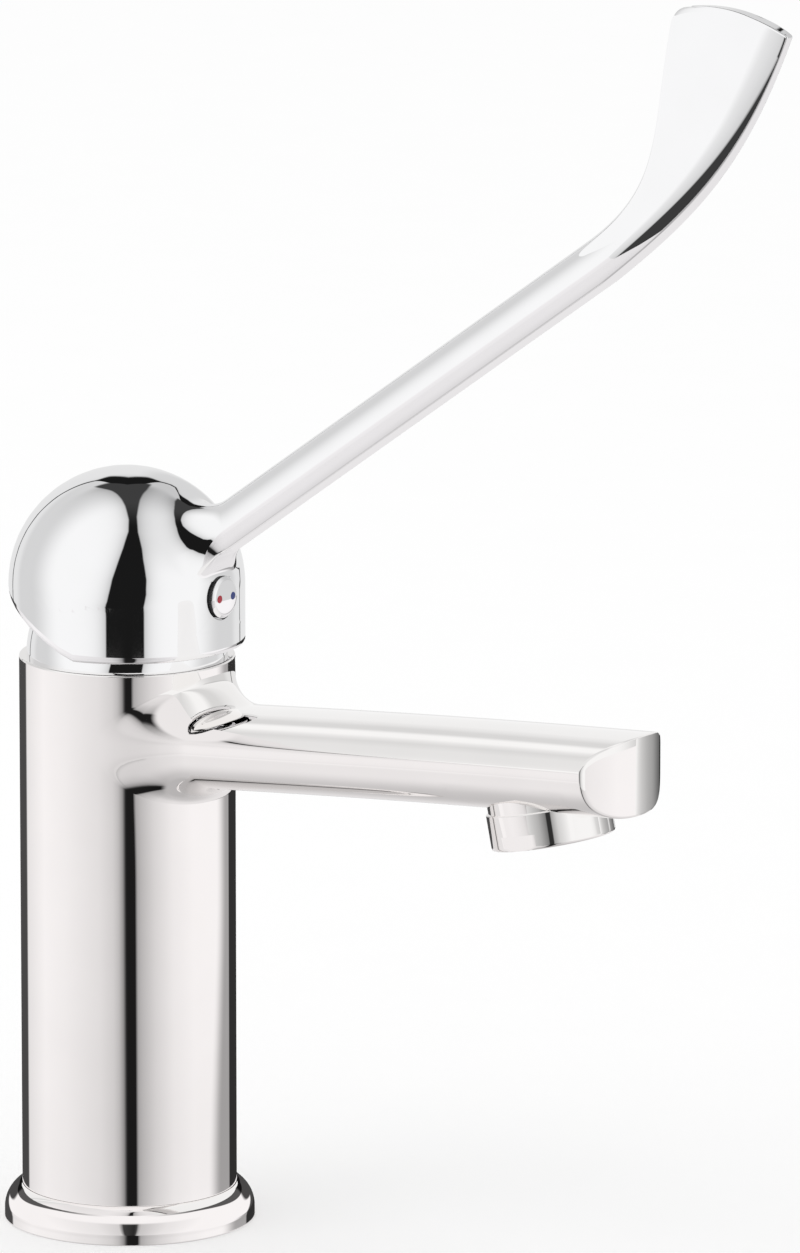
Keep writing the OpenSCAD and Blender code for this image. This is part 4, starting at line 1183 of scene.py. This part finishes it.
def coneCardFinish():
    made, desk, place = newFinish("coneCard")
    x, y, z = axes(desk, place)
    far = desk.maths("SQRT", x * x + y * y) / mm
    turned = turnOf(desk, x, y)
    middle = coneCard["gapMiddle"] + coneCard["gapLean"] * desk.maths("MAXIMUM", coneCard["leanEnd"] - far, 0)
    gapTurn = (y / mm - middle) / far * coneCard["gapScale"] + coneCard["gapTurn"]
    shown = desk.rise(far, *coneCard["shown"])
    near = desk.ramp(gapTurn, halfTurn, groundLevels) * shown + coneCard["plain"] * (1 - shown)
    narrow = lowTent["narrow"] * desk.rise(turned, *lowTent["narrowTurns"])
    distant = desk.ramp(turned + narrow, halfTurn, lowLevels)
    level = between(near, distant, desk.rise(far, *coneCard["distant"]))
    start = far - rayLength(desk)
    beyond = desk.maths("GREATER_THAN", start, coneCard["rootEnd"])  # a ray from along the spout
    glow(desk, level, hidden=desk.maths("MAXIMUM", fromAbove(desk), beyond), tint=warmWhite)
    return made


endLevels = [(-40, 0.12), (0, 0.38), (50, 0.65), (95, 0.97)]
nearCards = {  # upright cards, each mirrored only by metal within its reach
    "outletCard": {
        "middle": (176, -93), "turn": 35, "ends": (-95, 95), "edges": (86, 122), "reach": 145,
        "levels": [(-92, 0.75), (-40, 0.48), (-13, 0.22), (-10, 0.03), (3, 0.03), (6, 0.40), (25, 0.70),
                   (73, 1.0)],
    },
    "endCard": {
        "middle": (125, 116), "turn": 0, "ends": (-30, 24), "edges": (60, 116.5), "reach": 125,
        "levels": [(-31, 0.12), (-11, 0.18), (21, 0.36)],
    },
    "sideCard": {
        "middle": (140, 50), "turn": 28, "ends": (0, 50), "edges": (70, 116.5), "reach": 120,
        "levels": endLevels,
    },
    "farCard": {
        "middle": (140, 50), "turn": 28, "ends": (50, 105), "edges": (60, 116.5), "reach": 165,
        "levels": endLevels,
    },
}
nearCardHalf = 110  # no level lies farther from a card's middle


def buildNearCard(name, card):
    made, desk, place = newFinish(name)
    x, y, z = axes(desk, place)
    glow(desk, desk.ramp(x / mm, nearCardHalf, card["levels"]), hidden=tooFar(desk, card["reach"]))
    (start, end), (low, high) = card["ends"], card["edges"]
    skin = Skin()
    skin.quad(*skin.ring([(start, 0, low), (end, 0, low), (end, 0, high), (start, 0, high)]))
    placed = addStage(name, skin.mesh(name), made)
    placed.location = Vector((*card["middle"], 0)) * mm
    placed.rotation_euler.z = radians(card["turn"])


paddleCard = {  # bent round the paddle's crease, from its foot to its tip
    "foot": (126, -4.6, 221), "tip": (171, -1.2, 279), "end": 1.1, "away": 70, "reach": 90,
    "rays": [  # a mirrored ray's turn and rise, the light there, and where along the crease the card starts
        (-150, 2, 1.0, 0.40), (-110, -2, 1.0, 0.40), (-68, -6, 1.0, 0.25), (-62, -9, 0.84, 0.0),
        (-56, -12, 0.77, -0.06), (-50, -15.5, 0.68, -0.10), (-49, -16, 0.045, -0.10), (-40, -28, 0.045, 0.05),
        (-30, -36, 0.045, 0.2),
    ],
}


def buildPaddleCard():
    start, end = Vector(paddleCard["foot"]), Vector(paddleCard["tip"])
    rays = []
    for turned, lift, level, low in paddleCard["rays"]:
        a, e = radians(turned) + towardCamera, radians(lift)
        rays.append(Vector((cos(e) * cos(a), cos(e) * sin(a), sin(e))))
    along = (end - start).normalized()
    first = (rays[0] - along * rays[0].dot(along)).normalized()
    second = along.cross(first)
    swings = [degrees(atan2(ray.dot(second), ray.dot(first))) for ray in rays]
    made, desk, place = newFinish("paddleCard")
    fromFoot = desk.node("ShaderNodeVectorMath", {"operation": "SUBTRACT"}, {0: place, 1: start * mm})
    dot = {"operation": "DOT_PRODUCT"}
    across, up = [desk.node("ShaderNodeVectorMath", dot, {0: fromFoot, 1: axis}, out="Value")
                  for axis in (first, second)]
    levels = [(swing, row[2]) for swing, row in zip(swings, paddleCard["rays"])]
    level = desk.ramp(turnOf(desk, across, up), halfTurn, levels)
    glow(desk, level, hidden=tooFar(desk, paddleCard["reach"]))
    rows = []
    for ray, (turned, lift, level, low) in zip(rays, paddleCard["rays"]):
        rows.append([mix(start, end, t) + ray * paddleCard["away"] for t in (low, paddleCard["end"])])
    skin = Skin()
    skin.loft(rows, closed=False)
    addStage("paddleCard", skin.mesh("paddleCard"), made)


floor = {"size": 9.0, "grey": 0.965, "grain": 0.01, "grainScale": 40.0, "rough": 0.9}
lamp = {"size": 1.2, "power": 3.0, "place": (-0.6, -1.4, 1.8), "ahead": (0.6, 1.4, -1.7)}


def buildFloor():
    half = floor["size"] / 2 / mm
    skin = Skin()
    skin.quad(*skin.ring([(-half, -half, 0), (half, -half, 0), (half, half, 0), (-half, half, 0)]))
    made, desk, place = newFinish("paleFloor")
    low, high = [(grey, grey, grey, 1) for grey in (floor["grey"], floor["grey"] + floor["grain"])]
    shader = desk.node("ShaderNodeBsdfPrincipled", {}, {
        "Base Color": desk.blend(desk.noise(place, floor["grainScale"]), low, high),
        "Roughness": floor["rough"],
        "Specular IOR Level": 0.0,
    })
    desk.node("ShaderNodeOutputMaterial", {}, {"Surface": shader})
    addStage("paleFloor", skin.mesh("paleFloor"), made, onlyGlossy=False)


def buildWorld():
    scene.world = bpy.data.worlds.new("studio")
    scene.world.use_nodes = True
    desk = Desk(scene.world.node_tree)
    sky = desk.node("ShaderNodeBackground", {}, {"Color": (*white, 1), "Strength": 1.0})
    desk.node("ShaderNodeOutputWorld", {}, {"Surface": sky})


def buildLamp():
    made = bpy.data.objects.new("softLamp", bpy.data.lights.new("softLamp", "AREA"))
    scene.collection.objects.link(made)
    made.data.size = lamp["size"]
    made.data.energy = lamp["power"]
    made.location = lamp["place"]
    made.rotation_euler = Vector(lamp["ahead"]).to_track_quat("-Z", "Y").to_euler()
    made.visible_glossy = False


buildTent()
buildSpoutCard()
buildCone("ringCard", ringCardFinish(), ringCard)
buildCone("coneCard", coneCardFinish(), coneCard)
for cardName, nearCard in nearCards.items():
    buildNearCard(cardName, nearCard)
buildPaddleCard()
buildFloor()
buildWorld()
buildLamp()
print("studio ready")
